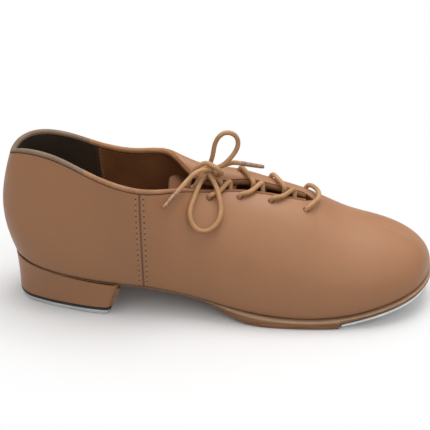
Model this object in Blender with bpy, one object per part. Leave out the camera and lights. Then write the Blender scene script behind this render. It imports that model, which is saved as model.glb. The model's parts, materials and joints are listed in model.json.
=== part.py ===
"""A lace-up tap shoe for the right foot, as separate solids: upper, linings, sole, heel, taps and lace.

The origin is under the middle of the shoe, on the ground. +X points to the toe, +Y to the inner
(medial) side of the foot and +Z up. Everything follows one surface, the outside of the upper, which is
made of ribs: rib u runs from the feather edge (v = 0), where the upper meets the sole, up to the
topline, slit or ridge (v = 1). u is 0 at the tip of the toe and 14 at the back of the heel, and it is
negative on the outer (lateral) side. v from 0 to -1 is the lasting margin, turned in under the foot.
"""

import math

import bmesh
import bpy
import numpy as np
from mathutils import Matrix, Vector

MM = 0.001

# Overall sizes
SOLE_LENGTH = 0.249  # feather edge, back of the heel to tip of the toe
BALL_WIDTH = 0.082  # feather edge, across the ball of the foot
COLLAR_HEIGHT = 0.0653  # back of the collar above the heel seat
HEEL_SEAT = 0.030  # heel seat above the ground, at the back
BALL_SEAT = 0.0056  # feather edge above the ground at the ball, the thickness of the sole there
ORIGIN = np.array([0.1257, -0.0026, 0.0])  # middle of the shoe, in the coordinates of the tables below

# Layers of the upper, as depths below its outer surface
LEATHER = 0.0012
STIFFENER = 0.0008
LINING = 0.0008
GAP = 0.0003  # between faces that are glued or stitched together
STIFFENER_AT = LEATHER + GAP
LINING_AT = STIFFENER_AT + STIFFENER + GAP
BINDING_HEIGHT = 0.0020
BEAD = 1.15  # thickness of the binding over that of what it holds
MARGIN = 0.010  # lasting margin under the insole
SLIT_HALF = 0.0028  # half the width of the open slit

# Bottom
BOARD = 0.0018  # insole board
SOCK = 0.0010
HEEL_PAD = 0.0024
SHANK_WIDTH = 0.013
SHANK_FROM, SHANK_TO = 0.022, 0.142
FILLER_FROM = 0.146
WAIST_SOLE = 0.0028
HEEL_SOLE = 0.0022
SOLE_EDGE = 0.0013  # how far the sole stands out past the feather edge
SOLE_TUCK = 0.0019  # how far it lies inside it at the waist and the heel
WAIST_FROM, BALL_FROM = 0.112, 0.156

# Taps and the boards that they sound against
TOE_TAP_FROM = 0.197
TOE_TAP = 0.0022
TOE_BOARD = 0.0007
TOE_SPRING = 0.205  # rise of the toe tap's underside over its run
TOE_TAP_INSET = 0.0015
HEEL_TAP = 0.0030
HEEL_BOARD = 0.0018
HEEL_TAP_INSET = 0.0012
SCREW_HEAD = 0.0030  # radius
SCREW_SHANK = 0.0013  # radius
SCREW_FIT = 0.0003
HEEL_SCREW_LENGTH = 0.014

# Heel
BREAST_TOP, BREAST_BOTTOM = 0.068, 0.063
HEEL_INSET_TOP, HEEL_INSET_BOTTOM = -0.0006, 0.0006
HEEL_ROUND = 0.0026
HEEL_FLARE = 0.0020
HEEL_SEAT_TUCK = 0.0014
HEEL_COVER = 0.0009
NAIL = 0.0011  # radius
NAIL_LENGTH = 0.012

# Lace, its holes and its tips
LACE = 0.0028
LACE_HOLE = 0.0022  # radius
INNER_HOLE = 0.0034  # radius in the stays and the lining
AGLET_LENGTH = 0.014
AGLET_WALL = 0.0004
SETBACKS = {  # from the edge of the slit to the middle of each hole, front to back
    "lateral": (0.0092, 0.0068, 0.0062, 0.0062),
    "medial": (0.0108, 0.0104, 0.0100, 0.0100),
}
LACE_ROWS = (4.27, 5.13, 5.95, 6.82)  # ribs

# Tongue
TONGUE = 0.0016
TONGUE_HALF = 0.015
TONGUE_ROOT_HALF = 0.0095
TONGUE_FROM, TONGUE_TO = 0.096, 0.198
TONGUE_CROWN = 10.0  # how fast it falls away from its middle, per metre
TONGUE_HINGE = (0.197, 0.0, 0.0498)

RIB_LINES = 2  # ribs drawn for each one in the table
SLIT = 4  # the rib at the front end of the slit
HEEL = 14  # the rib at the back of the heel
PAST_HEEL = 6  # ribs past 14 are those of the other side, so that a piece can run round the heel
SIDE_SEAM = 9.0
LINING_SEAM = 10.15
BINDING_SEAM = 10.4
PUFF, COUNTER = 3.2, 10.4  # ribs where the toe puff ends and the heel counter begins
STIFF_TO = 0.62  # how far up the ribs they reach
STAY = (4.5, 7.0)
STAY_WIDTH = 0.019
TAPE_HALF = 0.4  # ribs
SIDES = {"lateral": -1, "medial": 1}

# One row a rib, in mm: feather edge x and y on the outer side, x and y on the inner side, then the top
# of the rib, x, y, z on the outer side and x, y, z on the inner side.
RIBS = np.array([
    (253.0, 0.0, 253.0, 0.0, 212.0, 3.0, 48.5, 212.0, 3.0, 48.5),
    (249.5, -15.0, 250.0, 14.0, 209.0, 3.0, 49.8, 209.0, 3.0, 49.8),
    (239.5, -28.5, 241.0, 25.5, 203.0, 2.3, 52.3, 203.0, 2.3, 52.3),
    (219.0, -39.0, 223.0, 34.0, 194.0, 1.3, 55.8, 194.0, 1.3, 55.8),
    (190.0, -43.5, 194.0, 38.5, 182.0, 0.0, 62.8, 182.0, 0.0, 62.8),
    (162.0, -43.0, 164.0, 36.5, 160.0, -0.4, 68.5, 160.0, -0.4, 68.9),
    (137.0, -39.5, 138.0, 31.5, 138.0, -0.6, 71.3, 138.0, -0.6, 72.3),
    (116.0, -34.5, 116.0, 28.0, 118.0, -3.6, 72.2, 115.0, -1.2, 73.2),
    (99.0, -32.0, 99.0, 27.5, 100.0, -17.0, 78.0, 96.0, 15.0, 85.5),
    (82.0, -31.0, 82.0, 28.0, 81.0, -29.5, 83.5, 78.0, 22.0, 85.0),
    (60.0, -30.5, 60.0, 29.0, 58.0, -26.5, 89.0, 56.0, 25.5, 86.5),
    (38.0, -29.0, 38.0, 28.5, 36.0, -20.5, 97.8, 36.0, 22.0, 95.0),
    (20.0, -24.0, 20.0, 24.0, 18.0, -13.0, 100.0, 19.0, 15.5, 100.0),
    (8.0, -13.5, 8.0, 13.5, 7.5, -6.5, 97.6, 8.0, 7.5, 98.6),
    (4.0, 0.0, 4.0, 0.0, 4.5, 0.0, 95.3, 4.5, 0.0, 95.3),
])
# How each rib leaves its ends, out and up in mm: at the feather edge, then at the top on the outer side
# and at the top on the inner side.
HANDLES = np.array([
    (3.0, 22.0, 20.0, -3.0, 17.5, -7.5),
    (3.0, 22.0, 20.0, -3.0, 17.0, -6.0),
    (3.5, 22.0, 20.0, -3.0, 16.5, -3.5),
    (4.0, 23.0, 21.0, -3.5, 16.5, -1.0),
    (4.5, 24.0, 23.0, -4.5, 18.0, 5.5),
    (5.0, 24.0, 23.0, -5.0, 19.5, 12.0),
    (5.0, 24.0, 20.0, -6.0, 21.0, 21.0),
    (4.0, 24.0, 17.0, -8.0, 21.5, 28.5),
    (3.0, 24.0, 9.0, -12.0, 12.0, 6.0),
    (3.0, 22.0, 3.0, -20.0, 5.0, -16.0),
    (3.0, 22.0, 3.5, -24.0, 4.5, -22.0),
    (3.0, 22.0, 6.5, -28.0, 6.5, -26.0),
    (4.5, 22.0, 8.0, -30.0, 8.0, -30.0),
    (7.5, 22.0, 9.0, -30.0, 9.0, -30.0),
    (8.5, 22.0, 9.5, -30.0, 9.5, -30.0),
])
# Height of the feather edge along the shoe, in mm: x, then the share of the heel's rise over the ball,
# then what the toe springs up by.
SEAT = np.array([
    (0.0, 1.000, 0.0),
    (15.0, 0.930, 0.0),
    (30.0, 0.828, 0.0),
    (60.0, 0.631, 0.0),
    (83.0, 0.528, 0.0),
    (110.0, 0.344, 0.0),
    (140.0, 0.123, 0.0),
    (165.0, 0.008, 0.0),
    (185.0, 0.0, 0.0),
    (205.0, 0.0, 2.0),
    (225.0, 0.0, 6.0),
    (240.0, 0.0, 9.4),
    (256.0, 0.0, 13.4),
])
TABLE = (249.0, 82.0, 65.3, 30.0)  # length, width, collar and seat that the tables above are drawn for


def spline(knots, values):
    """A natural cubic spline through the values at the knots, as a function."""
    values = np.asarray(values, float)
    count, step = len(knots), np.diff(knots)
    system, bend = np.zeros((count, count)), np.zeros(values.shape)
    system[0, 0] = system[-1, -1] = 1
    slope = np.diff(values, axis=0) / step.reshape(-1, *[1] * (values.ndim - 1))
    for i in range(1, count - 1):
        system[i, i - 1 : i + 2] = step[i - 1], 2 * (step[i - 1] + step[i]), step[i]
        bend[i] = 6 * (slope[i] - slope[i - 1])
    bend = np.linalg.solve(system, bend)

    def at(x):
        x = np.asarray(x, float)
        k = np.clip(np.searchsorted(knots, x, side="right") - 1, 0, count - 2)
        before, after, width = x - knots[k], knots[k + 1] - x, step[k]
        if values.ndim > 1:
            before, after, width = before[..., None], after[..., None], width[..., None]
        return (
            (bend[k] * after**3 + bend[k + 1] * before**3) / (6 * width)
            + (values[k] / width - bend[k] * width / 6) * after
            + (values[k + 1] / width - bend[k + 1] * width / 6) * before
        )

    return at


def sized_tables():
    """The ribs and the seat in metres, stretched from the sizes they are drawn for to those wanted."""
    long = SOLE_LENGTH / (TABLE[0] * MM)
    wide = BALL_WIDTH / (TABLE[1] * MM)
    tall = COLLAR_HEIGHT / (TABLE[2] * MM)
    ribs, handles = RIBS * MM, HANDLES * MM
    for x in (0, 2, 4, 7):
        ribs[:, x] = ribs[:, x] * long
    for y in (1, 3, 5, 8):
        ribs[:, y] *= wide
    handles[:, 1::2] *= tall
    handles[:, ::2] *= wide
    at, share, spring = SEAT.T
    seat = spline(at * MM * long, share * (HEEL_SEAT - BALL_SEAT) + spring * MM * long + BALL_SEAT)
    drawn = spline(at * MM, share * (TABLE[3] * MM - BALL_SEAT) + spring * MM + BALL_SEAT)
    for x, z in ((4, 6), (7, 9)):
        ribs[:, z] = seat(ribs[:, x]) + (ribs[:, z] - drawn(ribs[:, x] / long)) * tall
    return ribs, handles, seat


RIB_TABLE, HANDLE_TABLE, seat_height = sized_tables()


def rib_splines():
    """Splines over u, round the whole shoe, of the feather edge, the tops and the handles."""
    turns = np.arange(-HEEL - PAST_HEEL, HEEL + PAST_HEEL + 1)
    wrapped = (turns + HEEL) % (2 * HEEL) - HEEL
    rows = abs(wrapped)
    outer = wrapped < 0
    feather = np.where(outer[:, None], RIB_TABLE[rows, 0:2], RIB_TABLE[rows, 2:4])
    handles = HANDLE_TABLE[rows]
    handles = np.where(outer[:, None], handles[:, [0, 1, 2, 3]], handles[:, [0, 1, 4, 5]])
    middle = (RIB_TABLE[:, 4:7] + RIB_TABLE[:, 7:10]) / 2
    half = (RIB_TABLE[:, 7:10] - RIB_TABLE[:, 4:7]) / 2
    open_rows = np.arange(SLIT, HEEL + PAST_HEEL + 1)
    spread = [half[k] if k <= HEEL else -half[2 * HEEL - k] for k in open_rows]
    spread[0] = half[SLIT] * 0
    closed = [spline(turns, values) for values in (feather, handles, middle[rows])]
    return *closed, spline(open_rows, spread)


FEATHER, HANDLE, TOP_MIDDLE, TOP_SPREAD = rib_splines()
STEP = 1e-3


def top_edge(u):
    u = np.asarray(u, float)
    past = np.maximum(abs(u) - SLIT, 0)
    gape = SLIT_HALF * (1 - np.exp(-past / 0.3)) * (1 - np.clip((past - 2.4) / 1.2, 0, 1) ** 2)
    apart = np.where(past[..., None] > 0, TOP_SPREAD(SLIT + past), 0) + gape[..., None] * np.array([0, 1, 0])
    return TOP_MIDDLE(u) + np.sign(u)[..., None] * apart


def outward(u):
    """Level unit vectors that point out of the feather edge."""
    along = FEATHER(u + STEP) - FEATHER(u - STEP)
    out = np.stack([along[..., 1], -along[..., 0], 0 * along[..., 0]], -1)
    return out / np.linalg.norm(out, axis=-1, keepdims=True)


def skin(u, v):
    """Points of the outside of the upper."""
    u, v = np.broadcast_arrays(np.asarray(u, float), np.asarray(v, float))
    out, up = outward(u), np.array([0, 0, 1.0])
    flat, handle, top = FEATHER(u), HANDLE(u), top_edge(u)
    base = np.concatenate([flat, seat_height(flat[..., 0])[..., None]], -1)
    low = base + out * handle[..., 0:1] + up * handle[..., 1:2]
    high = top + out * handle[..., 2:3] + up * handle[..., 3:4]
    t = np.clip(v, 0, 1)[..., None]
    wall = (1 - t) ** 3 * base + 3 * (1 - t) ** 2 * t * low + 3 * (1 - t) * t**2 * high + t**3 * top
    tucked = base + out * MARGIN * np.minimum(v, 0)[..., None]
    tucked[..., 2] = seat_height(tucked[..., 0])
    return np.where(v[..., None] < 0, tucked, wall)


def raw_normals(u, v):
    across = skin(u + STEP, v) - skin(u - STEP, v)
    up = skin(u, v + STEP) - skin(u, v - STEP)
    out = np.cross(across, up)
    return out / np.linalg.norm(out, axis=-1, keepdims=True)


def ridge_normals(u):
    """Unit normals along the ridge, square to it and to the ribs that cross it."""
    u = np.maximum(abs(u), 0.5)
    along = TOP_MIDDLE(u - STEP) - TOP_MIDDLE(u + STEP)
    lean = (HANDLE(u)[..., 3] - HANDLE(-u)[..., 3]) / (HANDLE(u)[..., 2] + HANDLE(-u)[..., 2])
    across = np.stack([0 * u, 1 + 0 * u, lean], -1)
    out = np.cross(along, across)
    return out / np.linalg.norm(out, axis=-1, keepdims=True)


def normals(u, v):
    """Outward unit normals. Both sides share one on the ridge, where their ribs meet."""
    u, v = np.broadcast_arrays(np.asarray(u, float), np.asarray(v, float))
    ridge = ((abs(u) <= SLIT) & (v > 0.999))[..., None]
    return np.where(ridge, ridge_normals(u), raw_normals(u, np.minimum(v, 0.97)))


def below(u, v, depth):
    """Points at this depth under the outside of the upper."""
    return skin(u, v) - normals(u, v) * depth


def rib_share(u, length):
    """How much of rib u, near its top, this length is."""
    v = np.linspace(0.7, 1, 31)
    points = skin(np.full(31, float(u)), v)
    run = np.linalg.norm(np.diff(points, axis=0), axis=1)[::-1].cumsum()
    return float(np.interp(length, np.concatenate([[0], run]), 1 - v[::-1]))


def upper_top(u, short=0.0):
    """v where a layer ends, just under the binding or short of that, or 1 on the ridge."""
    ease = min(max((abs(u) - SLIT) / 0.3, 0), 1)
    return 1 - ease * rib_share(u, BINDING_HEIGHT + 2 * GAP + short)


def lining_top(u):
    return upper_top(u, 0.0016)


def stay_foot(u):
    return 1 - rib_share(u, STAY_WIDTH)


def stay_top(u):
    return upper_top(u, 0.0012)


def hidden_top(u):
    """Where the tapes inside the upper end, well below the topline."""
    return upper_top(u, 0.007)


# Making objects


def material(name, colour, roughness, metallic=0.0):
    made = bpy.data.materials.new(name)
    made.use_nodes = True
    shader = made.node_tree.nodes["Principled BSDF"]
    shader.inputs["Base Color"].default_value = (*colour, 1)
    shader.inputs["Roughness"].default_value = roughness
    shader.inputs["Metallic"].default_value = metallic
    return made


def add(name, points, faces, colour, smooth=True):
    """A new object from points and faces, with its faces turned outwards."""
    mesh = bpy.data.meshes.new(name)
    shifted = np.asarray(points, float) - ORIGIN
    mesh.from_pydata([tuple(p) for p in shifted], [], [tuple(f) for f in faces])
    mesh.update()
    shaped = bmesh.new()
    shaped.from_mesh(mesh)
    bmesh.ops.recalc_face_normals(shaped, faces=shaped.faces)
    shaped.to_mesh(mesh)
    shaped.free()
    made = bpy.data.objects.new(name, mesh)
    bpy.context.scene.collection.objects.link(made)
    mesh.materials.append(colour)
    if smooth:
        mesh.shade_smooth()
        mesh.set_sharp_from_angle(angle=math.radians(40))
    return made


def rib_lines(start, stop):
    """The ribs that every sheet is drawn on between start and stop, and those two, so that edges match."""
    lines = np.arange(math.ceil(start * RIB_LINES + 0.1), math.floor(stop * RIB_LINES - 0.1) + 1) / RIB_LINES
    return np.concatenate([[start], lines, [stop]])


def panel(name, ribs, low, high, rows, outer, inner, colour):
    """A sheet of the upper between ribs, from v = low(u) to v = high(u), outer to inner deep."""
    ribs = [float(u) for u in ribs]
    margin = [-1, -0.45] if low(ribs[0]) < 0 else []
    heights = []
    for u in ribs:
        foot = max(low(u), 0)
        heights.append(margin + [foot + (high(u) - foot) * k / rows for k in range(rows + 1)])
    number, spots = {}, []
    for i, u in enumerate(ribs):
        for j, v in enumerate(heights[i]):
            on_ridge = abs(u) <= SLIT and v > 0.999
            key = ("ridge", round(abs(u), 4)) if on_ridge else (i, j)
            if key not in number:
                number[key] = len(spots)
                spots.append((abs(u) if on_ridge else u, v))
            number[i, j] = number[key]
    u, v = np.array(spots).T
    points = np.concatenate([below(u, v, outer), below(u, v, inner)])
    count = len(spots)
    across, up = len(ribs) - 1, len(heights[0]) - 1
    quads = []
    for i in range(across):
        for j in range(up):
            corners = (number[i, j], number[i + 1, j], number[i + 1, j + 1], number[i, j + 1])
            quads.append([c for k, c in enumerate(corners) if c != corners[k - 1]])
    uses = {}
    for quad in quads:
        for a, b in zip(quad, quad[1:] + quad[:1]):
            uses.setdefault(frozenset((a, b)), []).append((a, b))
    rims = [pairs[0] for pairs in uses.values() if len(pairs) == 1]
    faces = quads + [[c + count for c in quad[::-1]] for quad in quads]
    faces += [(b, a, a + count, b + count) for a, b in rims]
    return add(name, points, faces, colour)


def loft(name, rings, colour, smooth=True):
    """A solid through rings of points, closed at both ends."""
    size, rings = len(rings[0]), np.asarray(rings, float)
    faces = [list(range(size))[::-1], [len(rings) * size - size + k for k in range(size)]]
    for i in range(len(rings) - 1):
        for k in range(size):
            here, after = i * size + k, i * size + (k + 1) % size
            faces.append((here, after, after + size, here + size))
    return add(name, rings.reshape(-1, 3), faces, colour, smooth)


def cylinder(name, centre, axis, radii, heights, colour, sides=16):
    """A turned solid along an axis from centre: radii at heights."""
    turn = Vector(axis).to_track_quat("Z", "Y").to_matrix()
    rings = []
    for radius, height in zip(radii, heights):
        ring = []
        for k in range(sides):
            angle = 2 * math.pi * k / sides
            spot = turn @ Vector((radius * math.cos(angle), radius * math.sin(angle), height))
            ring.append(Vector(centre) + spot)
        rings.append(ring)
    return loft(name, rings, colour)


def cut(target, cutter):
    """Takes the cutter out of the target, with a live Boolean."""
    cutter.hide_render = True
    cutter.display_type = "WIRE"
    made = target.modifiers.new("cut_" + cutter.name, "BOOLEAN")
    made.operation = "DIFFERENCE"
    made.object = cutter
    made.solver = "EXACT"


# The bottom is drawn in sections along x


def outline_y(side, inset, x):
    """y of the feather edge, moved in by inset, at x. side is -1 for the outer edge."""
    u = side * np.linspace(0, HEEL, 400)
    edge = FEATHER(u) - outward(u)[:, :2] * inset
    return float(np.interp(x, edge[::-1, 0], edge[::-1, 1]))


def outline_ends(inset):
    """x of the outline's back and front, moved in by inset."""
    return float(FEATHER(HEEL)[0] + inset), float(FEATHER(0.0)[0] - inset)


def stations(start, stop, count, round_start=False, round_stop=False):
    """Places from start to stop, closer together towards a round end."""
    share = np.linspace(0, 1, count)
    if round_start and round_stop:
        share = (1 - np.cos(math.pi * share)) / 2
    elif round_stop:
        share = np.sin(math.pi / 2 * share)
    elif round_start:
        share = 1 - np.cos(math.pi / 2 * share)
    return start + (stop - start) * share


END = 0.0004  # how far short of a round end its last section stops


def slab(name, xs, inset, low, high, colour, smooth=True):
    """A plate between heights low(x) and high(x) inside the outline, moved in by inset(x)."""
    rings = []
    for x in xs:
        outer, inner = outline_y(-1, inset(x), x), outline_y(1, inset(x), x)
        rings.append([(x, outer, low(x)), (x, inner, low(x)), (x, inner, high(x)), (x, outer, high(x))])
    return loft(name, rings, colour, smooth)


def blend(x, x0, x1, y0, y1):
    """From y0 at x0 to y1 at x1, level outside them and smooth between."""
    share = min(max((x - x0) / (x1 - x0), 0), 1)
    return y0 + (y1 - y0) * share * share * (3 - 2 * share)


def sole_top(x):
    return float(seat_height(x)) - GAP


def toe_tap_bottom(x):
    return (x - TOE_TAP_FROM) * TOE_SPRING


def toe_tap_top(x):
    return toe_tap_bottom(x) + TOE_TAP


def toe_board_top(x):
    return toe_tap_top(x) + GAP + TOE_BOARD


def sole_bottom(x):
    if x > TOE_TAP_FROM - GAP:
        return toe_board_top(x) + GAP
    thick = blend(x, BREAST_TOP, BREAST_TOP + 0.02, HEEL_SOLE, WAIST_SOLE)
    arch = sole_top(x) - thick
    return max(blend(x, WAIST_FROM, BALL_FROM, arch, 0.0), 0.0)


def sole_inset(x):
    return blend(x, WAIST_FROM, BALL_FROM, SOLE_TUCK, -SOLE_EDGE)


def outsole_inset(x):
    """The sole's edge, tucked inside the heel's leather as far as the breast."""
    return HEEL_SEAT_TUCK if x < BREAST_TOP + MM else sole_inset(x)


def board_bottom(x):
    return float(seat_height(x)) + LEATHER + GAP


def board_top(x):
    return board_bottom(x) + BOARD


def clear_scene():
    for existing in list(bpy.data.objects):
        bpy.data.objects.remove(existing)


# Upper


def make_upper(colours):
    vamp_ribs = rib_lines(-SIDE_SEAM, SIDE_SEAM)
    panel("vamp", vamp_ribs, lambda u: -1, upper_top, 12, 0, LEATHER, colours["leather"])
    side = SIDE_SEAM + 0.02
    quarter_ribs = rib_lines(side, 2 * HEEL - side)
    panel("quarter", quarter_ribs, lambda u: -1, upper_top, 12, 0, LEATHER, colours["leather"])


def floor_share(u, height):
    """v at this height above the feather edge."""
    v = np.linspace(0, 0.4, 41)
    rise = skin(np.full(41, float(u)), v)[:, 2] - skin(u, 0.0)[2]
    return float(np.interp(height, rise, v))


def make_inner_upper(colours):
    lining_foot = LEATHER + GAP + BOARD + GAP

    def foot(u):
        return floor_share(u, lining_foot + 0.0006)

    side = LINING_SEAM + 0.02
    lining = (LINING_AT, LINING_AT + LINING)
    front = rib_lines(-LINING_SEAM, LINING_SEAM)
    panel("front_lining", front, foot, lining_top, 10, *lining, colours["lining"])
    panel("heel_lining", rib_lines(side, 2 * HEEL - side), foot, lining_top, 10, *lining, colours["suede"])
    between = (STIFFENER_AT, STIFFENER_AT + STIFFENER)
    toe, counter = rib_lines(-PUFF, PUFF), rib_lines(COUNTER, 2 * HEEL - COUNTER)
    panel("toe_puff", toe, foot, lambda u: STIFF_TO, 6, *between, colours["stiffener"])
    panel("heel_counter", counter, foot, lambda u: STIFF_TO, 6, *between, colours["stiffener"])
    for name, turn in SIDES.items():
        stay = rib_lines(*STAY)[::turn] * turn
        panel("eyelet_stay_" + name, stay, stay_foot, stay_top, 4, *between, colours["tape"])
        seam = rib_lines(SIDE_SEAM - TAPE_HALF, SIDE_SEAM + TAPE_HALF)[::turn] * turn
        panel("side_seam_tape_" + name, seam, foot, hidden_top, 6, *between, colours["tape"])


def binding(name, ribs, colour):
    """A strip folded over the raw edges of leather and lining, as a bead along them."""
    rings = []
    half_thick = (LINING_AT + LINING) / 2
    for u in ribs:
        v = 1 - rib_share(u, BINDING_HEIGHT / 2)
        centre, out = below(u, v, half_thick), normals(u, v)
        up = skin(u, v + STEP) - skin(u, v - STEP)
        up /= np.linalg.norm(up)
        angles = [math.pi * k / 3 for k in range(6)]
        wide, tall = half_thick * BEAD, BINDING_HEIGHT / 2
        rings.append([centre + out * wide * math.cos(a) + up * tall * math.sin(a) for a in angles])
    loft(name, rings, colour)


def make_bindings(colours):
    rear = rib_lines(BINDING_SEAM, 2 * HEEL - BINDING_SEAM)
    binding("collar_binding_rear", rear, colours["grey_binding"])
    for name, turn in SIDES.items():
        ribs = rib_lines(SLIT + 0.5, BINDING_SEAM - 0.03) * turn
        binding("collar_binding_" + name, ribs, colours["binding"])


TONGUE_LINE = spline(np.array([96, 101, 106, 112, 118, 138, 160, 170, 178, 190, 198]) * MM,
                     np.array([73.5, 70.5, 67.0, 63.8, 62.0, 60.2, 57.6, 55.4, 54.2, 52.8, 49.3]) * MM)


def make_tongue(colours):
    rings = []
    for x in np.linspace(TONGUE_FROM, TONGUE_TO, 16):
        half = TONGUE_HALF * math.sqrt(min(1, (x - TONGUE_FROM + 0.003) / 0.012))
        half = min(half, blend(x, 0.150, 0.190, TONGUE_HALF, TONGUE_ROOT_HALF))
        lean = blend(x, 0.138, 0.178, 0.27, 0.0)
        ys = np.linspace(-half, half, 7)
        top = [(x, y, float(TONGUE_LINE(x)) + lean * y - TONGUE_CROWN * y * y) for y in ys]
        rings.append(top + [(px, py, pz - TONGUE) for px, py, pz in top[::-1]])
    made = loft("tongue", rings, colours["lining"])
    hinge = Vector(TONGUE_HINGE) - Vector(ORIGIN)
    made.data.transform(Matrix.Translation(-hinge))
    made.location = hinge


# Bottom


def make_bottom(colours):
    def inside(distance):
        return lambda x: distance

    board_inset = LEATHER + GAP + 0.0004
    back, front = outline_ends(board_inset)
    xs = stations(back + END, front - END, 20, True, True)
    board = slab("insole_board", xs, inside(board_inset), board_bottom, board_top, colours["board"])
    sock_inset = LINING_AT + LINING + GAP
    back, front = outline_ends(sock_inset)
    xs = stations(back + END, front - END, 18, True, True)
    sock_top = lambda x: sock_bottom(x) + SOCK
    slab("sock_liner", xs, inside(sock_inset), sock_bottom, sock_top, colours["lining"])
    back = outline_ends(sock_inset + 0.004)[0]
    xs = stations(back + END, 0.074, 9, True)
    pad_top = lambda x: board_top(x) + pad(x)
    slab("heel_pad", xs, inside(sock_inset + 0.004), lambda x: board_top(x) + GAP, pad_top, colours["foam"])
    rings = []
    for x in np.linspace(SHANK_FROM, SHANK_TO, 12):
        low, half = float(seat_height(x)), SHANK_WIDTH / 2
        rings.append([(x, -half, low), (x, half, low), (x, half, low + LEATHER), (x, -half, low + LEATHER)])
    shank = loft("shank", rings, colours["steel"], False)
    hollow = MARGIN + 2 * GAP
    front = outline_ends(hollow)[1]
    xs = stations(FILLER_FROM, front - END, 10, False, True)
    level = lambda x: float(seat_height(x))
    slab("bottom_filler", xs, inside(hollow), level, lambda x: level(x) + LEATHER, colours["cork"])
    front = outline_ends(-SOLE_EDGE)[1]
    back = outline_ends(HEEL_SEAT_TUCK)[0]
    step = 0.0002
    tap = TOE_TAP_FROM - GAP
    xs = list(stations(back + END, BREAST_TOP, 9, True))
    for start, stop, count in ((BREAST_TOP, WAIST_FROM, 4), (WAIST_FROM, BALL_FROM, 8), (BALL_FROM, tap, 7)):
        xs += list(np.linspace(start, stop, count)[1:])
    xs += list(stations(tap + step, front - END, 12, False, True))
    outsole = slab("outsole", xs, outsole_inset, sole_bottom, sole_top, colours["sole"])
    return board, shank, outsole


def pad(x):
    """Height of the heel pad under the sock, running out in front of the heel."""
    return blend(x, 0.050, 0.078, HEEL_PAD, 0)


def sock_bottom(x):
    return board_top(x) + GAP + pad(x)


def heel_shape(share, x):
    """How far the heel is inside the upper: more at its back corners, less at the foot of the breast."""
    round_off = blend(x, 0.006, 0.022, 0, HEEL_ROUND)
    flare = blend(x, 0.024, BREAST_BOTTOM, 0, HEEL_ROUND + HEEL_FLARE)
    return (round_off - flare) * (1 - 0.8 * share)


def heel_side(side, share, inset, x):
    return outline_y(side, inset + heel_shape(share, x), x)


def heel_ring(share, inset, height):
    """Half ring of the heel, from its outer breast corner round the back to its inner one."""
    breast = BREAST_BOTTOM + (BREAST_TOP - BREAST_BOTTOM) * share
    back = outline_ends(inset)[0]
    xs = stations(back + END, breast, 9, True)
    outer = [(x, heel_side(-1, share, inset, x)) for x in xs[::-1]]
    inner = [(x, heel_side(1, share, inset, x)) for x in xs]
    return [(x, y, height(x)) for x, y in outer + inner]


def heel_inset(share):
    return HEEL_INSET_BOTTOM + (HEEL_INSET_TOP - HEEL_INSET_BOTTOM) * share


HEEL_BOTTOM = HEEL_TAP + GAP + HEEL_BOARD + GAP


def make_heel(colours):
    def level(x):
        return HEEL_BOTTOM

    wall = HEEL_COVER + 3 * GAP
    under_sole = lambda x: sole_top(x) - HEEL_SOLE - GAP
    low = heel_ring(0, heel_inset(0) + wall, level)
    high = heel_ring(1, heel_inset(1) + wall, under_sole)
    half = len(low) // 2
    rings = [[low[half - 1 - k], low[half + k], high[half + k], high[half - 1 - k]] for k in range(half)]
    block = loft("heel_block", rings, colours["heel"])
    parts = []
    corners = ((0, 0, level), (1, 0, sole_top), (1, HEEL_COVER, sole_top), (0, HEEL_COVER, level))
    for share, inset, height in corners:
        parts.append(heel_ring(share, heel_inset(share) + inset, height))
    loft("heel_cover", list(zip(*parts)), colours["leather"])
    return block


def plate_at_heel(name, inset, low, high, colour, breast):
    back = outline_ends(inset)[0]
    xs = stations(back + END, breast, 12, True)
    return slab(name, xs, lambda x: inset + heel_shape(0, x), lambda x: low, lambda x: high, colour)


def make_taps(colours, board, shank, outsole, block):
    quarter = bpy.data.objects["quarter"]
    bottom_inset = heel_inset(0)
    low, high = HEEL_TAP + GAP, HEEL_TAP + GAP + HEEL_BOARD
    black, metal = colours["black"], colours["metal"]
    heel_board = plate_at_heel("heel_sounding_board", bottom_inset, low, high, black, BREAST_BOTTOM)
    breast = BREAST_BOTTOM - 0.001
    heel_tap = plate_at_heel("heel_tap", bottom_inset + HEEL_TAP_INSET, 0, HEEL_TAP, metal, breast)
    toe_inset = TOE_TAP_INSET - SOLE_EDGE
    front = outline_ends(toe_inset)[1]
    xs = stations(TOE_TAP_FROM, front - END, 14, False, True)
    toe_tap = slab("toe_tap", xs, lambda x: toe_inset, toe_tap_bottom, toe_tap_top, metal)
    under = lambda x: toe_tap_top(x) + GAP
    toe_board = slab("toe_sounding_board", xs, lambda x: toe_inset, under, toe_board_top, black)
    spots = ((0.022, 0.0), (0.050, -0.016), (0.050, 0.016))
    for k, (x, y) in enumerate(spots, 1):
        through = [heel_tap, heel_board, block]
        tap_screw("heel_tap_screw_%d" % k, (x, y, 0), (0, 0, 1), HEEL_SCREW_LENGTH, through, colours)
    slope = math.hypot(1, TOE_SPRING)
    axis = (-TOE_SPRING / slope, 0, 1 / slope)
    for k, (x, y) in enumerate(((0.238, 0.0), (0.208, -0.022), (0.208, 0.019)), 1):
        room = (sole_top(x) - toe_tap_bottom(x)) / slope - 3 * GAP
        foot, through = (x, y, toe_tap_bottom(x)), [toe_tap, toe_board, outsole]
        tap_screw("toe_tap_screw_%d" % k, foot, axis, room, through, colours)
    through = [board, outsole, block, quarter]
    heel_nail("heel_screw", 0.036, 0.0, SCREW_SHANK, through + [shank], colours)
    for k, (x, y) in enumerate(((0.020, -0.012), (0.020, 0.012), (0.054, -0.015), (0.054, 0.015)), 1):
        heel_nail("heel_nail_%d" % k, x, y, NAIL, through, colours)


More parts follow.
